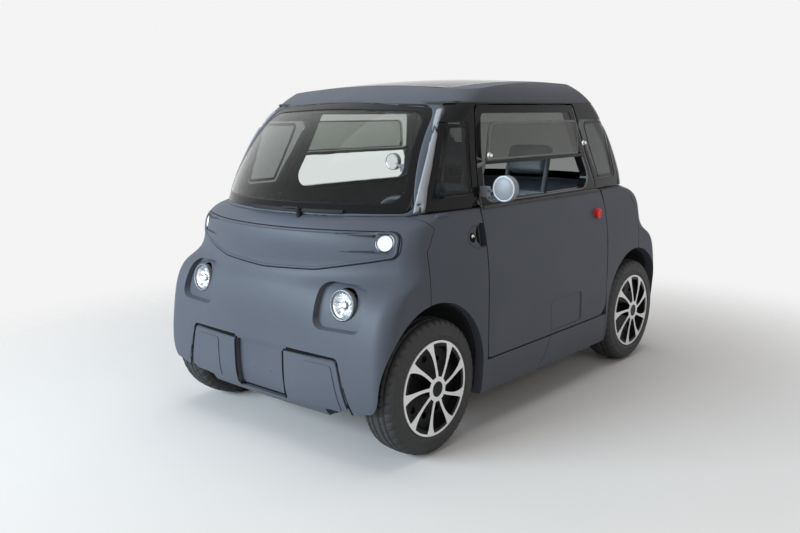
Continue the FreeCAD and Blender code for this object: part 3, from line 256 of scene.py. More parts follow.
def wheel_finish(name, centre_x):
    """Wheel: bright spokes and ring on the cover, black in its openings, black steel behind."""
    wheel = Material(name, (0.6, 0.6, 0.6), 0.3)
    x = wheel.maths("SUBTRACT", wheel.axis("X"), centre_x)
    z = wheel.maths("SUBTRACT", wheel.axis("Z"), WHEEL_LEVEL)
    squares = wheel.maths("ADD", wheel.maths("MULTIPLY", x, x), wheel.maths("MULTIPLY", z, z))
    radius = wheel.maths("SQRT", squares)
    depth = wheel.maths("SUBTRACT", wheel.maths("ABSOLUTE", wheel.axis("Y")), WHEEL_SIDE)
    face_radius, face_depth = COVER_FACE
    face = wheel.maths("MULTIPLY_ADD", radius, -COVER_SLOPE, face_depth + COVER_SLOPE * face_radius)
    raised = wheel.maths("GREATER_THAN", depth, face)
    rim_radius, rim_depth = COVER_RIM
    rim = wheel.maths("MULTIPLY", wheel.maths("GREATER_THAN", radius, rim_radius),
                      wheel.maths("GREATER_THAN", depth, rim_depth))
    bright = wheel.maths("MAXIMUM", raised, rim)
    bright = wheel.maths("MULTIPLY", bright, wheel.maths("GREATER_THAN", radius, COVER_HUB))
    wheel.colour(wheel.mix(bright, (0.007, 0.007, 0.008), (0.9, 0.9, 0.89)))
    wheel.join(wheel.maths("MULTIPLY", bright, 0.2), wheel.shader.inputs["Metallic"])
    wheel.join(wheel.spread(bright, 0, 1, 0.18, 0.5), wheel.shader.inputs["Specular IOR Level"])
    wheel.rough(wheel.spread(wheel.noise(160, 3), 0.3, 0.7, 0.3, 0.42))
    wheel.bump(wheel.noise(700, 2), 0.00003)
    return wheel.material


def lens_sheet(name, tint):
    """Thin cover: mostly seen through, with a glassy shine."""
    sheet = Material(name, (1, 1, 1), 0.03)
    clear = sheet.add("ShaderNodeBsdfTransparent")
    clear.inputs["Color"].default_value = (*tint, 1)
    shine = sheet.add("ShaderNodeBsdfGlossy")
    shine.inputs["Roughness"].default_value = 0.03
    edge = sheet.add("ShaderNodeFresnel")
    edge.inputs["IOR"].default_value = 1.45
    blend = sheet.add("ShaderNodeMixShader")
    sheet.join(edge.outputs["Fac"], blend.inputs["Fac"])
    sheet.join(clear.outputs["BSDF"], blend.inputs[1])
    sheet.join(shine.outputs["BSDF"], blend.inputs[2])
    sheet.join(blend.outputs["Shader"], sheet.output.inputs["Surface"])
    return sheet.material


def seat_weave():
    """Woven seat cloth: crossed threads with a soft sheen and faint mottling."""
    cloth = Material("seat_cloth", (0.03, 0.034, 0.045), 0.85, Sheen_Weight=0.25, Sheen_Roughness=0.5)
    x, y, z = cloth.axis("X"), cloth.axis("Y"), cloth.axis("Z")
    warp = cloth.maths("SINE", cloth.maths("MULTIPLY", y, 2400.0))
    weft = cloth.maths("SINE", cloth.maths("MULTIPLY", cloth.maths("ADD", x, z), 2400.0))
    weave = cloth.maths("MULTIPLY", warp, weft)
    tint = cloth.mix(cloth.spread(cloth.noise(60, 4), 0.3, 0.7), (0.024, 0.027, 0.036), (0.045, 0.05, 0.062))
    cloth.colour(tint)
    cloth.rough(cloth.spread(weave, -1, 1, 0.75, 0.95))
    cloth.bump(weave, 0.0003)
    cloth.bump(cloth.noise(90, 3), 0.0004)
    return cloth.material


def painted_steel(name, colour, roughness, **sockets):
    part = Material(name, colour, roughness, **sockets)
    part.rough(part.spread(part.noise(120, 4), 0.3, 0.7, roughness - 0.1, roughness + 0.12))
    part.bump(part.noise(260, 3), 0.00015)
    return part.material


BODY_FILM = body_film()
CLEAR_GLASS = glass("clear_glass", (0.74, 0.79, 0.77), (0.62, 0.66, 0.64))
DARK_GLASS = glass("dark_glass", (0.24, 0.25, 0.245), (0.2, 0.21, 0.21))
FLAP_GLASS = glass("flap_glass", (0.5, 0.51, 0.49), (0.4, 0.41, 0.4))
ROOF_GLASS = glass("roof_glass", (0.07, 0.075, 0.075), (0.1, 0.1, 0.1), 1.12)
LAMP_GLASS = glass("lamp_lens", (0.97, 0.98, 1.0), (0.95, 0.95, 0.95), 1.4)
BLACK_PLASTIC = moulded("black_plastic", (0.02, 0.02, 0.021), 0.55)
DARK_TRIM = moulded("dark_trim", (0.035, 0.038, 0.045), 0.5)
MIRROR_GREY = moulded("mirror_grey", (0.2, 0.205, 0.22), 0.42, 0.00004)
RED_PLASTIC = moulded("red_plastic", (0.75, 0.02, 0.02), 0.35, 0.00003)
CHASSIS_STEEL = painted_steel("chassis_steel", (0.03, 0.03, 0.032), 0.5)
CAST_ALLOY = painted_steel("cast_alloy", (0.4, 0.4, 0.41), 0.45, Metallic=0.9)
BATTERY_CASE = painted_steel("battery_case", (0.06, 0.06, 0.065), 0.45)
RUBBER = moulded("rubber", (0.026, 0.026, 0.026), 0.6, 0.0001, 500, 0.4)
WIPER_BLACK = moulded("wiper_black", (0.008, 0.008, 0.009), 0.5, 0.00003, 900, 0.2)
WHEEL_SILVER = painted_steel("wheel_silver", (0.55, 0.56, 0.57), 0.32, Metallic=0.6)
SEAT_CLOTH = seat_weave()
HOUSE_FILM = house_film()
DOOR_FILM = door_film()
COVER = {end: wheel_finish("wheel_cover_" + end, sign * AXLE) for end, sign in ENDS.items()}
CERAMIC = moulded("black_ceramic", (0.006, 0.006, 0.007), 0.12, 0.000004, 1800, 0.15)
SHADOW_BLACK = moulded("shadow_black", (0.004, 0.004, 0.005), 0.8, 0.00002, 900, 0.1)
# Painted shade for the grooves by the upper lamps
GROOVE_SHADE = moulded("groove_shade", (0.02, 0.021, 0.025), 0.6, 0.00002, 900, 0.2)
# Painted highlight: light grey that stands in for the shine on the rounded pillars
PILLAR_HIGHLIGHT = moulded("pillar_grey", (0.25, 0.255, 0.265), 0.35, 0.00001, 1500, 0.5)
SEAL_GREY = moulded("seal_grey", (0.16, 0.165, 0.17), 0.5, 0.00003)
BRIGHT_METAL = painted_steel("bright_metal", (0.75, 0.75, 0.74), 0.25, Metallic=1.0)
BRIGHT_EDGE = painted_steel("bright_edge", (0.3, 0.31, 0.32), 0.4, Metallic=0.4)
MIRROR_GLASS = painted_steel("mirror_glass", (0.85, 0.86, 0.87), 0.12, Metallic=1.0)
LAMP_RIM = painted_steel("lamp_rim", (0.2, 0.205, 0.215), 0.35, Metallic=0.5)
REFLECTOR = painted_steel("reflector", (0.62, 0.64, 0.67), 0.3, Metallic=0.8)
OPAL = moulded("opal_lens", (0.78, 0.79, 0.8), 0.5, 0.00001, 1200, 0.3)
LENS_SHEET = {"front": lens_sheet("clear_lens", (1, 1, 1)),
              "rear": lens_sheet("red_lens", (0.8, 0.03, 0.03))}
RED_LENS = moulded("red_marker_lens", (0.5, 0.012, 0.012), 0.25, 0.00001, 1200)

FINISH = {
    "body_wrap": BODY_FILM, "window_glass": DARK_GLASS, "lamp_glass": LAMP_GLASS, "tyre": RUBBER,
    "wheel_silver": WHEEL_SILVER, "black_plastic": BLACK_PLASTIC, "dark_trim": DARK_TRIM,
    "seat_cloth": SEAT_CLOTH, "mirror_grey": MIRROR_GREY, "red_plastic": RED_PLASTIC,
    "battery_case": BATTERY_CASE, "cast_alloy": CAST_ALLOY, "chassis_steel": CHASSIS_STEEL,
    "wiper_rubber": RUBBER,
}
OWN_FINISH = {
    "windscreen": CLEAR_GLASS, "roof_glass": ROOF_GLASS, "door_glass_left": FLAP_GLASS,
    "door_glass_right": FLAP_GLASS, "cab_frame": HOUSE_FILM, "door_panel_left": DOOR_FILM,
    "door_panel_right": DOOR_FILM, "wiper": WIPER_BLACK, "marker_lamps_front": OPAL,
    "marker_lamps_rear": RED_LENS,
}


def new_object(name, data):
    thing = bpy.data.objects.new(name, data)
    bpy.context.scene.collection.objects.link(thing)
    return thing


def dress(piece, material):
    piece.data.materials.clear()
    piece.data.materials.append(material)


for part in frame["record"]["subparts"]:
    name = part["node"]
    dress(nodes[name], OWN_FINISH.get(name, FINISH[part["material_slot"]]))


# Pieces in mesh code
OTHER_WORDS = (("windscreen", "rear_window"), ("front", "rear"), ("left", "right"))
GAP_WIDTH = 0.006
GAP_DEPTH = 0.012
NOWHERE = 9.0
SINK = 0.0015


def add_piece(name, points, faces, materials, body):
    """A new mesh piece that rides on a body; a face may come in a pair with its material's number."""
    mesh = bpy.data.meshes.new(name)
    build = bmesh.new()
    corners = [build.verts.new(point) for point in points]
    for face in faces:
        which, index = face if isinstance(face[0], (tuple, list)) else (face, 0)
        made = build.faces.new([corners[number] for number in which])
        made.material_index = index
        made.smooth = True
    bmesh.ops.remove_doubles(build, verts=build.verts, dist=0.00001)
    bmesh.ops.recalc_face_normals(build, faces=build.faces)
    build.to_mesh(mesh)
    build.free()
    for material in materials if isinstance(materials, (list, tuple)) else [materials]:
        mesh.materials.append(material)
    piece = new_object(name, mesh)
    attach(piece, body)
    return piece


def turned_piece(piece, body="root"):
    """Copy of a piece, half a turn about the vertical axis, named for the other end or side."""
    word, other = next(pair for pair in OTHER_WORDS if pair[0] in piece.name)
    name = piece.name.replace(word, other)
    mesh = piece.data.copy()
    mesh.transform(Matrix.Rotation(math.pi, 4, "Z"))
    mesh.name = name
    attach(new_object(name, mesh), body)


class Skin:
    """Surface of some CAD nodes, for pieces that lie on them."""

    def __init__(self, *names):
        build = bmesh.new()
        for name in names:
            build.from_mesh(nodes[name].data)
        self.tree = BVHTree.FromBMesh(build)
        build.free()

    def meet(self, start, ahead):
        """First surface along a ray; a narrow gap there is bridged from the surface beside it."""
        start, ahead = Vector(start), Vector(ahead)
        aside = ahead.orthogonal().normalized() * GAP_WIDTH
        over = ahead.cross(aside).normalized() * GAP_WIDTH
        found = []
        for shift in (Vector(), aside, -aside, over, -over):
            place, normal, index, reach = self.tree.ray_cast(start + shift, ahead)
            found.append((reach, normal) if place is not None else (NOWHERE, None))
        reach, normal = found[0]
        closest = min(found, key=lambda pair: pair[0])
        if reach > closest[0] + GAP_DEPTH:
            reach, normal = closest
        place = start + ahead * reach
        if normal is None:
            place, normal, index, reach = self.tree.find_nearest(start + ahead * 0.6)
        if normal.dot(ahead) > 0:
            normal = -normal
        return place, normal

    def near(self, x, y, z):
        """Nearest surface, with its normal away from the car's middle."""
        place, normal, index, reach = self.tree.find_nearest(Vector((x, y, z)))
        outward = Vector((x, y, 0))
        return place, normal if normal.dot(outward) > 0 else -normal

    def side(self, x, z):
        return self.meet((x, 1.3, z), (0, -1, 0))

    def end(self, y, z):
        return self.meet((1.8, y, z), (-1, 0, 0))

    def top(self, x, y):
        return self.meet((x, y, 2.0), (0, 0, -1))


def rounded_outline(corners, count):
    """Points evenly spaced along a closed outline with round corners (a, b, radius)."""
    path = []
    total = len(corners)
    for number, (a, b, radius) in enumerate(corners):
        here = Vector((a, b))
        before = (Vector(corners[number - 1][:2]) - here).normalized()
        after = (Vector(corners[(number + 1) % total][:2]) - here).normalized()
        if radius <= 0:
            path.append(here)
            continue
        half = before.angle(after) / 2
        centre = here + (before + after).normalized() * (radius / math.sin(half))
        start = here + before * (radius / math.tan(half)) - centre
        finish = here + after * (radius / math.tan(half)) - centre
        sweep = start.angle_signed(finish)
        for step in range(9):
            turn = Matrix.Rotation(-sweep * step / 8, 2)
            path.append(centre + turn @ start)
    return even_path(path + [path[0]], count + 1)[:-1]


def even_path(path, count):
    """Points evenly spaced along an open path."""
    reach = [0.0]
    for first, second in zip(path, path[1:]):
        reach.append(reach[-1] + (second - first).length)
    points = []
    place = 0
    for number in range(count):
        target = reach[-1] * number / (count - 1)
        while place < len(path) - 2 and reach[place + 1] < target:
            place += 1
        span = reach[place + 1] - reach[place]
        share = (target - reach[place]) / span if span else 0
        points.append(path[place].lerp(path[place + 1], min(max(share, 0), 1)))
    return points


def drawn_in(outline, amount):
    """The closed outline moved inwards; amount is a number or a function of the point."""
    area = sum(first.x * second.y - second.x * first.y
               for first, second in zip(outline, outline[1:] + outline[:1]))
    sign = 1 if area > 0 else -1
    moved = []
    for number, point in enumerate(outline):
        along = (outline[(number + 1) % len(outline)] - outline[number - 1]).normalized()
        inward = Vector((-along.y, along.x)) * sign
        moved.append(point + inward * (amount(point) if callable(amount) else amount))
    return moved


def ring_faces(rows, count, closed=True):
    """Faces between rows of points that follow one another, with the same count in each."""
    faces = []
    for row in range(rows - 1):
        for number in range(count if closed else count - 1):
            following = (number + 1) % count
            faces.append((row * count + number, row * count + following,
                          (row + 1) * count + following, (row + 1) * count + number))
    return faces


def laid_band(name, outer, inner, project, lift, material, body, rows=3, closed=True, crown=0.0):
    """Band between two outlines, laid on a skin, with its edges turned down into it."""
    points = []
    across = [(row / rows, lift + crown * math.sin(math.pi * row / rows)) for row in range(rows + 1)]
    across = [(0, -SINK)] + across + [(1, -SINK)]
    for share, height in across:
        for first, second in zip(outer, inner):
            spot = first.lerp(second, share)
            place, normal = project(*spot)
            points.append(place + normal * height)
    return add_piece(name, points, ring_faces(len(across), len(outer), closed), material, body)


def laid_patch(name, outline, project, lift, material, body, rows=4, crown=0.0):
    """Closed patch with the given outline, laid on a skin."""
    middle = sum(outline, Vector((0, 0))) / len(outline)
    points = []
    inward = [(row / rows, lift + crown * math.sin(math.pi / 2 * row / rows)) for row in range(rows)]
    for share, height in [(0, -SINK)] + inward:
        for point in outline:
            spot = point.lerp(middle, share)
            place, normal = project(spot.x, spot.y)
            points.append(place + normal * height)
    place, normal = project(middle.x, middle.y)
    points.append(place + normal * (lift + crown))
    count = len(outline)
    faces = ring_faces(rows + 1, count)
    for number in range(count):
        faces.append((rows * count + number, rows * count + (number + 1) % count, len(points) - 1))
    return add_piece(name, points, faces, material, body)


def laid_strip(name, path, width, project, lift, material, body, closed=False, crown=0.0):
    """Strip of even width along an open or closed path."""
    sides = ([], [])
    count = len(path)
    for number, point in enumerate(path):
        before = path[number - 1] if closed or number else point
        after = path[(number + 1) % count] if closed or number < count - 1 else point
        along = (after - before).normalized()
        across = Vector((-along.y, along.x)) * width / 2
        sides[0].append(point + across)
        sides[1].append(point - across)
    rows = 4 if crown else 2
    return laid_band(name, sides[0], sides[1], project, lift, material, body, rows, closed, crown)


def lathe(name, profile, place, axis, materials, body, steps=48, marks=()):
    """Turned piece: profile of (radius, height) along an axis; marks gives a material to each run."""
    frame_turn = Vector((0, 0, 1)).rotation_difference(Vector(axis).normalized()).to_matrix()
    points = []
    for radius, height in profile:
        for step in range(steps):
            angle = 2 * math.pi * step / steps
            points.append(Vector(place) + frame_turn @ Vector((
                radius * math.cos(angle), radius * math.sin(angle), height)))
    faces = [(face, marks[number // steps] if marks else 0)
             for number, face in enumerate(ring_faces(len(profile), steps))]
    return add_piece(name, points, faces, materials, body)


# Tyres: a carcass with bead and shoulder, four grooves round the tread and cross grooves on the shoulders
TYRE_STEPS = 308
TYRE_PROFILE = [
    (0.1785, 0.066), (0.186, 0.0712), (0.193, 0.0722), (0.197, 0.0745), (0.204, 0.0765), (0.212, 0.0775),
    (0.2135, 0.0785), (0.2165, 0.0785), (0.218, 0.0777), (0.226, 0.0783), (0.236, 0.0776), (0.245, 0.0758),
    (0.2465, 0.0765), (0.2495, 0.0757), (0.251, 0.0742), (0.258, 0.0722), (0.2645, 0.0685), (0.2695, 0.0635),
    (0.2725, 0.0575), (0.2742, 0.052), (0.2748, 0.0475), (0.2752, 0.0462), (0.2756, 0.0398), (0.2759, 0.0385),
    (0.2767, 0.030), (0.2774, 0.0205), (0.2776, 0.0192), (0.278, 0.0128), (0.2781, 0.0115), (0.2784, 0.006),
]
TREAD_GROOVES = ((0.0398, 0.0462), (0.0128, 0.0192))
GROOVE_DEPTH = 0.0058
SHOULDER_RADIUS = 0.257
SHOULDER_WIDTH = 0.0475
SHOULDER_RUN = 0.007
SHOULDER_CUT = 0.0065
BLOCK_WIDTHS = (0.0205, 0.0385)
BLOCK_CUT = 0.0045
CUT_EVERY = 7


def tread_depth(radius, offset, step):
    """How deep the tread is cut at one point of the tyre."""
    width = abs(offset)
    depth = 0.0
    if any(low - 0.0001 <= width <= high + 0.0001 for low, high in TREAD_GROOVES):
        depth = GROOVE_DEPTH
    turned = step if offset > 0 else step + 3
    if radius > SHOULDER_RADIUS and width > SHOULDER_WIDTH and turned % CUT_EVERY < 2:
        depth = max(depth, SHOULDER_CUT * min(1, (radius - SHOULDER_RADIUS) / SHOULDER_RUN))
    if BLOCK_WIDTHS[0] <= width <= BLOCK_WIDTHS[1] and (turned + 2) % CUT_EVERY < 1:
        depth = max(depth, BLOCK_CUT)
    return depth


def tyre_piece(end, side):
    profile = TYRE_PROFILE + [(radius, -offset) for radius, offset in reversed(TYRE_PROFILE)]
    centre = Vector((ENDS[end] * AXLE, SIDES[side] * WHEEL_SIDE, WHEEL_LEVEL))
    points = []
    for radius, offset in profile:
        for step in range(TYRE_STEPS):
            angle = 2 * math.pi * step / TYRE_STEPS
            reach = radius - tread_depth(radius, offset, step)
            points.append(centre + Vector((reach * math.cos(angle), offset, reach * math.sin(angle))))
    tyre = add_piece("tread_%s_%s" % (end, side), points, ring_faces(len(profile), TYRE_STEPS), RUBBER,
                     "road_wheel_%s_%s" % (end, side))
    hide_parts("tyre_%s_%s" % (end, side))


for end, side in CORNERS:
    tyre_piece(end, side)
    dress(nodes["wheel_%s_%s" % (end, side)], COVER[end])

# How far a laid piece stands off its skin
RIM_LIFT = 0.0002
PATCH_LIFT = 0.0005
LINE_LIFT = 0.0006
SEAL_LIFT = 0.0012
BELT_SEAL_LIFT = 0.004
PILLAR_HIGHLIGHT_LIFT = 0.006

# Windows: the surround, black ceramic borders and a painted highlight as a light-grey strip on each pillar
SCREEN_EDGE = [(-0.592, 0.955, 0.02), (0.592, 0.955, 0.02), (0.528, 1.386, 0.05), (0, 1.42, 4.0),
               (-0.528, 1.386, 0.05)]
SCREEN_SEEN = [(-0.574, 0.968, 0.03), (0.574, 0.968, 0.03), (0.489, 1.388, 0.09), (0, 1.404, 4.0),
               (-0.489, 1.388, 0.09)]
SCREEN_CLEAR = [(-0.54, 1.008, 0.05), (0.54, 1.008, 0.05), (0.464, 1.356, 0.075), (0, 1.372, 4.0),
                (-0.464, 1.356, 0.075)]
SCREEN_MIDDLE = Vector((0, 1.2))
front_skin = Skin("windscreen", "cab_frame")
edge, seen, clear = [rounded_outline(line, 240) for line in (SCREEN_EDGE, SCREEN_SEEN, SCREEN_CLEAR)]
surround = laid_band("windscreen_surround", edge, seen, front_skin.end, 0.001, BODY_FILM, "root", 4)
turned_piece(surround)
screen_frit = laid_band("windscreen_border", [point.lerp(SCREEN_MIDDLE, -0.004) for point in seen], clear,
                        front_skin.end, PATCH_LIFT, CERAMIC, "root", 5)
turned_piece(screen_frit)
# Painted highlight: a light-grey strip laid where each rounded pillar catches the light
PILLAR_AHEAD = [(0.872, 0.567, 0.958), (0.836, 0.567, 1.058), (0.749, 0.548, 1.212), (0.655, 0.508, 1.346),
                (0.638, 0.5, 1.372)]
PILLAR_BEHIND = [(0.832, 0.592, 0.958), (0.804, 0.586, 1.058), (0.722, 0.562, 1.23), (0.641, 0.527, 1.346),
                 (0.622, 0.52, 1.372)]
for side_name, side in SIDES.items():
    lines = []
    for line in (PILLAR_AHEAD, PILLAR_BEHIND):
        lines.append(even_path([Vector((x, y * side, z)) for x, y, z in line], 40))
    strip = laid_band("pillar_strip_front_" + side_name, *lines, front_skin.near, PILLAR_HIGHLIGHT_LIFT,
                      PILLAR_HIGHLIGHT, "root", 4, False, 0.002)
    turned_piece(strip)

ROOF = [(-0.5, -0.47, 0.07), (0.5, -0.47, 0.07), (0.5, 0.47, 0.07), (-0.5, 0.47, 0.07)]
outer = drawn_in(rounded_outline(ROOF, 240), 0.004)
inner = drawn_in(rounded_outline(ROOF, 240), 0.05)
laid_band("roof_glass_border", outer, inner, Skin("roof_glass").top, LINE_LIFT, CERAMIC, "root", 3)

PANE_CORNER = 0.022
QUARTER = {"ahead": ((0.54, 1.023), (0.752, 1.023), (0.653, 1.311), (0.54, 1.311)),
           "behind": ((-0.56, 1.023), (-0.40, 1.311), (-0.653, 1.311), (-0.752, 1.023))}
quarter_skin = Skin("quarter_glass")
for which, corners in QUARTER.items():
    pane_line = rounded_outline([(*corner, PANE_CORNER) for corner in corners], 120)
    frit = laid_band("quarter_border_left_" + which, drawn_in(pane_line, 0.002), drawn_in(pane_line, 0.016),
                     quarter_skin.side, PATCH_LIFT, CERAMIC, "root", 2)
    turned_piece(frit)

# Door windows: seals round the opening, the belt seal, the flap's frame and its knobs
door_skin = Skin("door_panel_left")
WINDOW = [(0.452, 0.984, 0.055), (0.452, 1.346, 0.02), (-0.264, 1.346, 0.02), (-0.462, 0.984, 0.055)]
SEAL_TOP = 1.165
window_line = drawn_in(rounded_outline(WINDOW, 260), -0.005)
below = [point.y < SEAL_TOP for point in window_line]
first = next(number for number in range(len(below)) if below[number] and not below[number - 1])
lower_line = [window_line[(first + step) % len(window_line)] for step in range(sum(below))]
seal = laid_strip("window_seal_left", lower_line, 0.007, door_skin.side, SEAL_LIFT, SEAL_GREY, "door_left")
turned_piece(seal, "door_right")
EMBOSS = [(0.012, 0.336, 0.03), (0.012, 0.493, 0.03), (-0.272, 0.493, 0.03), (-0.272, 0.336, 0.03)]
emboss = laid_strip("door_emboss_rim_left", rounded_outline(EMBOSS, 160), 0.008, door_skin.side, RIM_LIFT,
                    DOOR_FILM, "door_left", True, 0.0018)
turned_piece(emboss, "door_right")
DOOR_EDGES = {"ahead": ((0.5085, 0.985), (0.5085, 1.372)), "behind": ((-0.5, 0.995), (-0.292, 1.372))}
for edge_name, ends in DOOR_EDGES.items():
    line = even_path([Vector(pair) for pair in ends], 40)
    edging = laid_strip("door_edging_left_" + edge_name, line, 0.004, door_skin.side, 0.0008, SEAL_GREY,
                        "door_left")
    turned_piece(edging, "door_right")
gutter_line = even_path([Vector((-0.62, ROOF_LEVEL)), Vector((0.62, ROOF_LEVEL))], 80)
gutter = laid_strip("roof_gutter_left", gutter_line, 0.006, Skin("cab_frame").side, SEAL_LIFT,
                    BLACK_PLASTIC, "root")
turned_piece(gutter)
belt_line = even_path([Vector((0.5, 0.966)), Vector((-0.505, 0.966))], 60)
belt_seal = laid_strip("belt_seal_left", belt_line, 0.014, door_skin.side, BELT_SEAL_LIFT, BLACK_PLASTIC,
                       "door_left")
turned_piece(belt_seal, "door_right")
FLAP = [(0.447, 1.158, 0.004), (0.447, 1.316, 0.04), (-0.277, 1.316, 0.04), (-0.318, 1.158, 0.004)]
flap_skin = Skin("door_glass_left")
outer = drawn_in(rounded_outline(FLAP, 220), 0.001)
inner = drawn_in(rounded_outline(FLAP, 220), 0.007)
flap_rim = laid_band("flap_rim_left", outer, inner, flap_skin.side, SEAL_LIFT, SEAL_GREY, "door_left", 2)
turned_piece(flap_rim, "door_right")
knob_skin = Skin("door_panel_left", "door_glass_left")
FLAP_KNOB = [(0.0, 0.016), (0.006, 0.0158), (0.0088, 0.013), (0.0092, 0.009), (0.0065, 0.007),
             (0.0065, 0.002), (0.0125, 0.0015), (0.013, -0.001)]
for number, (x, z) in enumerate(((0.44, 1.178), (-0.405, 1.203))):
    place, normal = knob_skin.side(x, z)
    knob = lathe("flap_knob_left_%d" % number, FLAP_KNOB, place, normal, BRIGHT_METAL, "door_left", 32)
    turned_piece(knob, "door_right")

# Headlamps: rim, faceted reflector with eight petals, centre bulb cover and clear lens
lamp_skin = Skin("headlamps_front")
HEADLAMP_Y = 0.443
HEADLAMP_Z = 0.632
LAMP_STEPS = 96
HOUSING_ROWS = [
    (0.0615, -0.016, 0, 0), (0.0615, 0.0035, 0, 0), (0.0595, 0.0065, 0, 0), (0.0555, 0.0065, 0, 0),
    (0.0535, 0.0035, 0, 0), (0.0530, -0.002, 0, 0), (0.0500, -0.004, 0, 1), (0.0495, -0.004, 0, 1),
    (0.043, -0.009, 0.0045, 1), (0.034, -0.0135, 0.006, 1), (0.024, -0.0165, 0.005, 1),
    (0.0155, -0.018, 0.002, 1), (0.0145, -0.0125, 0, 0), (0.0105, -0.0095, 0, 0), (0.009, -0.0095, 0, 2),
    (0.004, -0.0075, 0, 2), (0.0002, -0.007, 0, 2),
]
LENS_ROWS = [(0.0535, 0.003, 0, 3), (0.050, 0.0052, 0, 3), (0.042, 0.0072, 0, 3), (0.030, 0.0086, 0, 3),
             (0.016, 0.0094, 0, 3), (0.0002, 0.0096, 0, 3)]


def headlamp(name, side, end):
    """One lamp, set in the front end; a row is (radius, height, wave, material)."""
    place, normal = lamp_skin.end(side * HEADLAMP_Y, HEADLAMP_Z)
    axis = (normal * 0.35 + Vector((1, 0, 0)) * 0.65).normalized()
    turn = Vector((0, 0, 1)).rotation_difference(axis).to_matrix()
    centre = Vector((place.x - 0.004, side * HEADLAMP_Y, HEADLAMP_Z))
    points = []
    faces = []
    for rows in (HOUSING_ROWS, LENS_ROWS):
        start = len(points)
        for radius, height, wave, finish in rows:
            for step in range(LAMP_STEPS):
                angle = 2 * math.pi * (step + 0.5) / LAMP_STEPS
                dip = wave * (1 - abs(math.sin(4 * angle)))
                points.append(centre + turn @ Vector((
                    radius * math.cos(angle), radius * math.sin(angle), height - dip)))
        for number, face in enumerate(ring_faces(len(rows), LAMP_STEPS)):
            faces.append(([start + corner for corner in face], rows[number // LAMP_STEPS + 1][3]))
    return add_piece(name, points, faces, [LAMP_RIM, REFLECTOR, OPAL, LENS_SHEET[end]], "root")


for end in ENDS:
    for side_name, side in SIDES.items():
        lamp = headlamp("headlamp_%s_%s" % (end, side_name), side, end)
        if end == "rear":
            lamp.data.transform(Matrix.Rotation(math.pi, 4, "Z"))
        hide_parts("headlamps_" + end)

# Upper lamps: a dark ring round the white lens
marker_skin = Skin("marker_lamps_front")
MARKER_Y = 0.553
MARKER_Z = 0.868
LAMP_RING = [(0.0340, -0.004), (0.0340, 0.0010), (0.0330, 0.0016), (0.0312, 0.0016), (0.0305, 0.0005),
             (0.0303, -0.004)]
for side_name, side in SIDES.items():
    place, normal = marker_skin.end(side * MARKER_Y, MARKER_Z)
    bezel = lathe("upper_lamp_ring_front_" + side_name, LAMP_RING, place, normal, BLACK_PLASTIC, "root", 56)
    turned_piece(bezel)

# Nose: the band's rim, painted shadow along the band's seam, in the grooves by the upper lamps, in the gaps
# round the bumper blocks and at the plate's foot
nose_front = Skin("lamp_band_front", "nose_panel_front", "marker_lamps_front")
BAND = [(-0.596, 0.903, 0.03), (-0.596, 0.818, 0.025), (-0.5, 0.798, 0.1), (-0.28, 0.757, 0.3),
        (0, 0.744, 0.4), (0.28, 0.757, 0.3), (0.5, 0.798, 0.1), (0.596, 0.818, 0.025), (0.596, 0.903, 0.03)]
band_line = rounded_outline(BAND, 300)
rim = laid_strip("band_rim_front", band_line, 0.011, nose_front.end, RIM_LIFT, BODY_FILM, "root", True, 0.005)
turned_piece(rim)
seam = laid_strip("band_seam_front", drawn_in(band_line, -0.007), 0.0035, nose_front.end, 0.0003,
                  SHADOW_BLACK, "root", True)
turned_piece(seam)
# Painted shade: dark wedges for the grooves over and under each upper lamp
LAMP_GROOVES = {"over": ((0.385, 0.8935), (0.516, 0.8975), (0.516, 0.8875)),
                "under": ((0.395, 0.8335), (0.52, 0.8385), (0.52, 0.8295))}
for side_name, side in SIDES.items():
    for which, corners in LAMP_GROOVES.items():
        outline = rounded_outline([(a * side, b, 0.001) for a, b in corners], 60)
        wedge = laid_patch("lamp_groove_front_%s_%s" % (which, side_name), outline, nose_front.end,
                           PATCH_LIFT, GROOVE_SHADE, "root", 3)
        turned_piece(wedge)
# Painted shadow: black strips in the gaps round the bumper blocks and at the plate's foot
BUMPER_GAPS = {"over": (((0.164, 0.4225), (0.436, 0.4225), (0.451, 0.412), (0.455, 0.398)), 0.016),
               "outside": (((0.455, 0.40), (0.520, 0.212)), 0.009),
               "beside": (((0.153, 0.42), (0.153, 0.212)), 0.010)}
for side_name, side in SIDES.items():
    for gap_name, (line, width) in BUMPER_GAPS.items():
        path = even_path([Vector((a * side, b)) for a, b in line], 60)
        gap = laid_strip("bumper_gap_front_%s_%s" % (gap_name, side_name), path, width,
                         nose_front.end, LINE_LIFT, SHADOW_BLACK, "root")
        turned_piece(gap)
foot_line = even_path([Vector((-0.146, 0.2085)), Vector((0.146, 0.2085))], 40)
foot_gap = laid_strip("plate_gap_front", foot_line, 0.009, nose_front.end, LINE_LIFT, SHADOW_BLACK, "root")
turned_piece(foot_gap)

# Small parts: plate screws, key barrel, handle pocket with painted shade along its edge and in its opening,
# door release, mirror glass
PLATE_SCREW = [(0.0, 0.0028), (0.0025, 0.0028), (0.0026, 0.0012), (0.0038, 0.0012), (0.0062, 0.0026),
               (0.0072, 0.0012), (0.0074, -0.002)]
for number, y in enumerate((0.055, -0.055)):
    screw = lathe("plate_screw_front_%d" % number, PLATE_SCREW, (1.1765, y, 0.3), (1, 0, 0), BLACK_PLASTIC,
                  "root", 24)
    turned_piece(screw)
RELEASE_FACE = [(0.0, 0.0018), (0.0125, 0.0018), (0.0140, 0.0035), (0.0165, 0.0042), (0.0185, 0.0035),
                (0.0195, 0.0012), (0.0225, 0.0012), (0.0242, -0.001)]
release_place = (-0.441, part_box("door_release_left")[1].y, 0.854)
lathe("door_release_face", RELEASE_FACE, release_place, (0, 1, 0), RED_PLASTIC, "door_left")
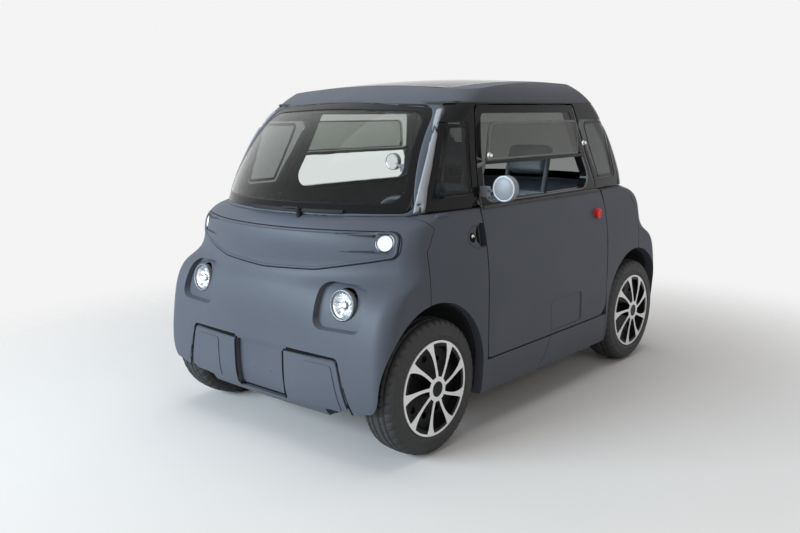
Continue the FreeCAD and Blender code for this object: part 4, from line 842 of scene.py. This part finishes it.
fender_skin = Skin("fender_front_left")
# Painted shade: a dark line along the pocket's D-shaped edge, where the recess is shaded
HANDLE = [(0.5295, 0.9, 0.004), (0.6, 0.902, 0.05), (0.642, 0.872, 0.03), (0.640, 0.832, 0.03),
          (0.6, 0.806, 0.05), (0.5295, 0.803, 0.004)]
handle_line = drawn_in(rounded_outline(HANDLE, 120), 0.003)
handle_edge_shade = laid_strip("handle_rim_left", handle_line, 0.006, fender_skin.side, RIM_LIFT, BLACK_PLASTIC,
                        "root", True, 0.0012)
turned_piece(handle_edge_shade)
HANDLE_HOLE = [(0.5305, 0.888, 0.006), (0.556, 0.892, 0.02), (0.574, 0.872, 0.02), (0.574, 0.838, 0.02),
               (0.556, 0.818, 0.02), (0.5305, 0.822, 0.006)]
handle_hole = laid_patch("handle_opening_left", rounded_outline(HANDLE_HOLE, 80), fender_skin.side,
                         PATCH_LIFT, SHADOW_BLACK, "root")
turned_piece(handle_hole)
lock_ring = [Vector((0.611 + 0.019 * math.cos(angle), 0.853 + 0.02 * math.sin(angle)))
             for angle in (2 * math.pi * step / 32 for step in range(32))]
lock_plate = laid_patch("lock_plate_left", lock_ring, fender_skin.side, LINE_LIFT, SHADOW_BLACK, "root", 3)
turned_piece(lock_plate)
HATCH = [(0.832, 0.640, 0.008), (0.798, 0.622, 0.012), (0.722, 0.619, 0.006), (0.738, 0.642, 0.01)]
hatch = laid_patch("hatch_left", rounded_outline(HATCH, 80), fender_skin.top, 0.0022, BODY_FILM, "root", 4,
                   0.001)
turned_piece(hatch)
KEY_BARREL = [(0.0, -0.0005), (0.0008, 0.0005), (0.0055, 0.001), (0.0075, 0.0016), (0.0088, 0.0006),
              (0.009, -0.002)]
lock_place = Vector((0.608, fender_skin.side(0.608, 0.856)[0].y, 0.856))
lock = lathe("key_barrel_left", KEY_BARREL, lock_place, (0, 1, 0), BRIGHT_METAL, "root", 32)
turned_piece(lock)
mirror_centre = Vector((0.572, 0.8, 1.057))
MIRROR_CAP = [(0.0, 0.0225), (0.012, 0.0222), (0.024, 0.0210), (0.035, 0.0188), (0.043, 0.0162),
              (0.0455, 0.0150), (0.0465, 0.0152), (0.0500, 0.0158), (0.0524, 0.0148), (0.0526, 0.0120)]
cap = lathe("mirror_cap_left", MIRROR_CAP, mirror_centre, (1, 0, 0), [MIRROR_GREY, BRIGHT_EDGE], "door_left",
            72, (0, 0, 0, 0, 0, 1, 1, 1, 1))
turned_piece(cap, "door_right")
MIRROR_FACE = [(0.0, 0.0148), (0.044, 0.0146), (0.0462, 0.0146), (0.0468, 0.0170), (0.0500, 0.0178),
               (0.0518, 0.0160), (0.0521, 0.0120)]
mirror = lathe("mirror_glass_left", MIRROR_FACE, mirror_centre, (-1, 0, 0), [MIRROR_GLASS, BRIGHT_EDGE],
               "door_left", 64, (0, 0, 1, 1, 1, 1))
turned_piece(mirror, "door_right")

# Steering wheel pad, instrument pod and headrests
lean = math.radians(25)
column_axis = Vector((-math.cos(lean), 0, math.sin(lean)))
STEERING_PAD = [(0.0, 0.026), (0.03, 0.0255), (0.046, 0.022), (0.054, 0.015), (0.056, 0.006), (0.05, -0.004)]
lathe("steering_pad", STEERING_PAD, (0.56, 0.3, 0.83), column_axis, DARK_TRIM, "helm")


def soft_box(name, low, high, radius, material, body, tilt=0.0):
    """Box with rounded edges."""
    mesh = bpy.data.meshes.new(name)
    build = bmesh.new()
    bmesh.ops.create_cube(build, size=1.0)
    low, high = Vector(low), Vector(high)
    span = high - low
    middle = (low + high) / 2
    for corner in build.verts:
        corner.co = Vector(a * b for a, b in zip(corner.co, span))
    bmesh.ops.bevel(build, geom=build.edges[:], offset=radius, segments=4, affect="EDGES", profile=0.5)
    turn = Matrix.Rotation(tilt, 3, "Y")
    for corner in build.verts:
        corner.co = turn @ corner.co + middle
    for face in build.faces:
        face.smooth = True
    build.to_mesh(mesh)
    build.free()
    mesh.materials.append(material)
    piece = new_object(name, mesh)
    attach(piece, body)
    return piece


soft_box("instrument_pod", (0.70, 0.215, 0.895), (0.80, 0.385, 0.965), 0.014, DARK_TRIM, "root", 0.25)
soft_box("instrument_glass", (0.696, 0.225, 0.90), (0.702, 0.375, 0.958), 0.002, CERAMIC, "root", 0.25)

SEAT_SIDE = 0.3
SETBACK = {"driver": 0.0, "passenger": 0.12}
SEAT_MIDDLE = {"driver": SEAT_SIDE, "passenger": -SEAT_SIDE}
for who, middle in SEAT_MIDDLE.items():
    corners = [corner.co for corner in nodes["seat_frame_" + who].data.vertices]
    top = max(corner.z for corner in corners)
    loop = [corner.x for corner in corners if corner.z > top - 0.03]
    loop_x = sum(loop) / len(loop)
    soft_box("headrest_" + who, (loop_x - 0.036, middle - 0.108, top - 0.145),
             (loop_x + 0.036, middle + 0.108, top + 0.006), 0.028, DARK_TRIM, "root", -0.28)


# Cushions
CUSHION_SHRINK = 0.004
CUSHION_SWELL = 0.009
CUSHION_VOXEL = 0.007
CUSHION_FRAMES = 18
CLOTH_SETTINGS = {"quality": 4, "mass": 0.15, "tension_stiffness": 12, "compression_stiffness": 12,
                  "bending_stiffness": 0.6, "use_pressure": True, "uniform_pressure_force": 4}
CHANNEL = 0.105
SEAM_WIDTH = 0.006
SEAM_DEPTH = 0.0045
SEAT_FRONT = 0.24
SEAT_LENGTH = 0.345
SEAT_LEVEL = 0.455
SEAT_UNDER = 0.425
BACK_LEVEL = 0.47
SEAT_SEAMS = (-0.145, -0.245)
BACK_SEAMS = (0.10, 0.20, 0.30)


def apply_modifiers(piece):
    graph = bpy.context.evaluated_depsgraph_get()
    shaped = bpy.data.meshes.new_from_object(piece.evaluated_get(graph))
    piece.modifiers.clear()
    piece.data = shaped


def cushion(name, node):
    """Padded cloth grown from the plain solid by a pressure simulation."""
    mesh = nodes[node].data.copy()
    mesh.name = name
    piece = new_object(name, mesh)
    bpy.context.view_layer.objects.active = piece
    build = bmesh.new()
    build.from_mesh(mesh)
    bmesh.ops.remove_doubles(build, verts=build.verts, dist=0.0002)
    build.normal_update()
    start = [corner.co - corner.normal * CUSHION_SHRINK for corner in build.verts]
    for corner, place in zip(build.verts, start):
        corner.co = place
    build.to_mesh(mesh)
    build.free()
    remesh = piece.modifiers.new("remesh", "REMESH")
    remesh.mode = "VOXEL"
    remesh.voxel_size = CUSHION_VOXEL
    apply_modifiers(piece)
    swell(piece)
    return piece


def swell(piece):
    """Cloth under pressure, with a limit to how far a point moves."""
    rest = [corner.co.copy() for corner in piece.data.vertices]
    settings = piece.modifiers.new("cloth", "CLOTH").settings
    for key, value in CLOTH_SETTINGS.items():
        setattr(settings, key, value)
    settings.effector_weights.gravity = 0
    for moment in range(1, CUSHION_FRAMES + 1):
        bpy.context.scene.frame_set(moment)
    apply_modifiers(piece)
    bpy.context.scene.frame_set(1)
    for corner, place in zip(piece.data.vertices, rest):
        move = corner.co - place
        if move.length > CUSHION_SWELL:
            corner.co = place + move.normalized() * CUSHION_SWELL


def seam_depth(across, crossings):
    """Depth of the sewn channels: two along the cushion, the others only between those two."""
    gaps = [abs(abs(across) - CHANNEL)]
    if abs(across) < CHANNEL:
        gaps += [abs(crossing) for crossing in crossings]
    return SEAM_DEPTH * math.exp(-(min(gaps) / SEAM_WIDTH) ** 2)


for who, middle in SEAT_MIDDLE.items():
    pad = cushion("seat_cushions_" + who, "seat_pads_" + who)
    front = SEAT_FRONT - SETBACK[who]
    for corner in pad.data.vertices:
        place = corner.co
        across = place.y - middle
        if place.z < SEAT_LEVEL and place.x > front - SEAT_LENGTH:
            depth = seam_depth(across, [place.x - front - seam for seam in SEAT_SEAMS])
            if place.z > SEAT_UNDER:
                corner.co = place + Vector((0, 0, -depth))
        else:
            depth = seam_depth(across, [place.z - BACK_LEVEL - seam for seam in BACK_SEAMS])
            if corner.normal.x > 0.4:
                corner.co = place + Vector((-depth, 0, 0))
    bpy.context.view_layer.objects.active = pad
    smooth = pad.modifiers.new("smooth", "SUBSURF")
    smooth.levels = smooth.render_levels = 1
    apply_modifiers(pad)
    for face in pad.data.polygons:
        face.use_smooth = True
    dress(pad, SEAT_CLOTH)
    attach(pad, "root")
    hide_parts("seat_pads_" + who)


# Stage
FLOOR_COLOUR = (0.76, 0.745, 0.73)
FLOOR_FADE = (1.5, 3.4)
BACKDROP_COLOUR = (0.90, 0.90, 0.90)


def floor_paint():
    """Pale matte floor with painted shade that darkens it towards +X, where the key lamp lights it most; it
    fades into the plain backdrop away from the car.
    """
    paint = Material("floor_paint", FLOOR_COLOUR, 0.7, Specular_IOR_Level=0.2)
    clouds = paint.spread(paint.noise(1.3, 4), 0.3, 0.7)
    x, y = paint.axis("X"), paint.axis("Y")
    # Painted shade: the floor colour darkens towards +X, where the key lamp lights it most, so the floor
    # renders evenly
    key_side_share = paint.spread(x, -2.0, 3.0)
    away_from_key_tone = paint.mix(clouds, (0.9, 0.885, 0.865), (0.92, 0.905, 0.885))
    painted_shade_tone = paint.mix(clouds, (0.66, 0.62, 0.58), (0.68, 0.64, 0.60))
    paint.colour(paint.mix(key_side_share, away_from_key_tone, painted_shade_tone))
    squares = paint.maths("ADD", paint.maths("MULTIPLY", x, x), paint.maths("MULTIPLY", y, y))
    reach = paint.maths("SQRT", squares)
    gone = paint.add("ShaderNodeMapRange", interpolation_type="SMOOTHSTEP")
    for value, socket in zip((reach, *FLOOR_FADE), ("Value", "From Min", "From Max")):
        paint.join(value, gone.inputs[socket])
    clear = paint.add("ShaderNodeBsdfTransparent")
    blend = paint.add("ShaderNodeMixShader")
    paint.join(gone.outputs["Result"], blend.inputs["Fac"])
    paint.join(paint.shader.outputs["BSDF"], blend.inputs[1])
    paint.join(clear.outputs["BSDF"], blend.inputs[2])
    paint.join(blend.outputs["Shader"], paint.output.inputs["Surface"])
    return paint.material


def floor_sheet():
    mesh = bpy.data.meshes.new("floor")
    build = bmesh.new()
    bmesh.ops.create_grid(build, x_segments=12, y_segments=12, size=6.0)
    build.to_mesh(mesh)
    build.free()
    sheet = new_object("floor", mesh)
    dress(sheet, floor_paint())
    return sheet


floor_sheet()


def area_lamp(name, place, target, size, power, colour=(1, 1, 1), mirrored=True):
    lamp = bpy.data.lights.new(name, "AREA")
    lamp.shape = "RECTANGLE"
    lamp.size, lamp.size_y = size
    lamp.energy = power
    lamp.color = colour
    holder = new_object(name, lamp)
    holder.location = place
    holder.rotation_mode = "QUATERNION"
    holder.rotation_quaternion = (Vector(target) - Vector(place)).to_track_quat("-Z", "Y")
    holder.visible_glossy = mirrored


area_lamp("key", (6.4, -2.2, 2.4), (0, 0, 0.6), (4.4, 2.6), 650, (0.74, 0.88, 1.0))
area_lamp("side", (2.6, 6.0, 3.2), (0.3, 0, 0.6), (3.6, 2.4), 60, (1.0, 0.97, 0.93))
area_lamp("top", (0.2, 0, 5.6), (0, 0, 0), (5.0, 5.0), 130, (1.0, 0.99, 0.97), False)


def studio_world():
    """Soft and even ambient light; what is seen behind the car is the plain backdrop."""
    world = bpy.data.worlds.new("studio")
    world.use_nodes = True
    bpy.context.scene.world = world
    sky = world.node_tree
    ambient = sky.nodes["Background"]
    ambient.inputs["Color"].default_value = (0.92, 0.95, 1.0, 1)
    ambient.inputs["Strength"].default_value = 0.24
    backdrop = sky.nodes.new("ShaderNodeBackground")
    backdrop.inputs["Color"].default_value = (*BACKDROP_COLOUR, 1)
    backdrop.inputs["Strength"].default_value = 1.0
    path = sky.nodes.new("ShaderNodeLightPath")
    seen = path.outputs["Is Camera Ray"]
    for ray in ("Is Transmission Ray", "Is Glossy Ray"):
        either = sky.nodes.new("ShaderNodeMath")
        either.operation = "MAXIMUM"
        sky.links.new(seen, either.inputs[0])
        sky.links.new(path.outputs[ray], either.inputs[1])
        seen = either.outputs["Value"]
    blend = sky.nodes.new("ShaderNodeMixShader")
    sky.links.new(seen, blend.inputs["Fac"])
    sky.links.new(ambient.outputs["Background"], blend.inputs[1])
    sky.links.new(backdrop.outputs["Background"], blend.inputs[2])
    sky.links.new(blend.outputs["Shader"], sky.nodes["World Output"].inputs["Surface"])


def photo_camera():
    """Camera of the photograph, with its roll."""
    ahead = Vector((math.cos(CAMERA_PITCH) * math.cos(CAMERA_YAW),
                    math.cos(CAMERA_PITCH) * math.sin(CAMERA_YAW), math.sin(CAMERA_PITCH)))
    level_right = ahead.cross(Vector((0, 0, 1))).normalized()
    level_up = level_right.cross(ahead)
    right = level_right * math.cos(CAMERA_ROLL) + level_up * math.sin(CAMERA_ROLL)
    up = level_up * math.cos(CAMERA_ROLL) - level_right * math.sin(CAMERA_ROLL)
    data = bpy.data.cameras.new("photo_camera")
    data.sensor_width = SENSOR_WIDTH
    data.lens = SENSOR_WIDTH * FOCAL_PIXELS / IMAGE_WIDTH
    camera = new_object("photo_camera", data)
    turn = Matrix((right, up, -ahead)).transposed()
    camera.matrix_world = Matrix.Translation(CAMERA_PLACE) @ turn.to_4x4()
    bpy.context.scene.camera = camera


studio_world()
photo_camera()
bpy.context.scene.view_settings.view_transform = "Standard"
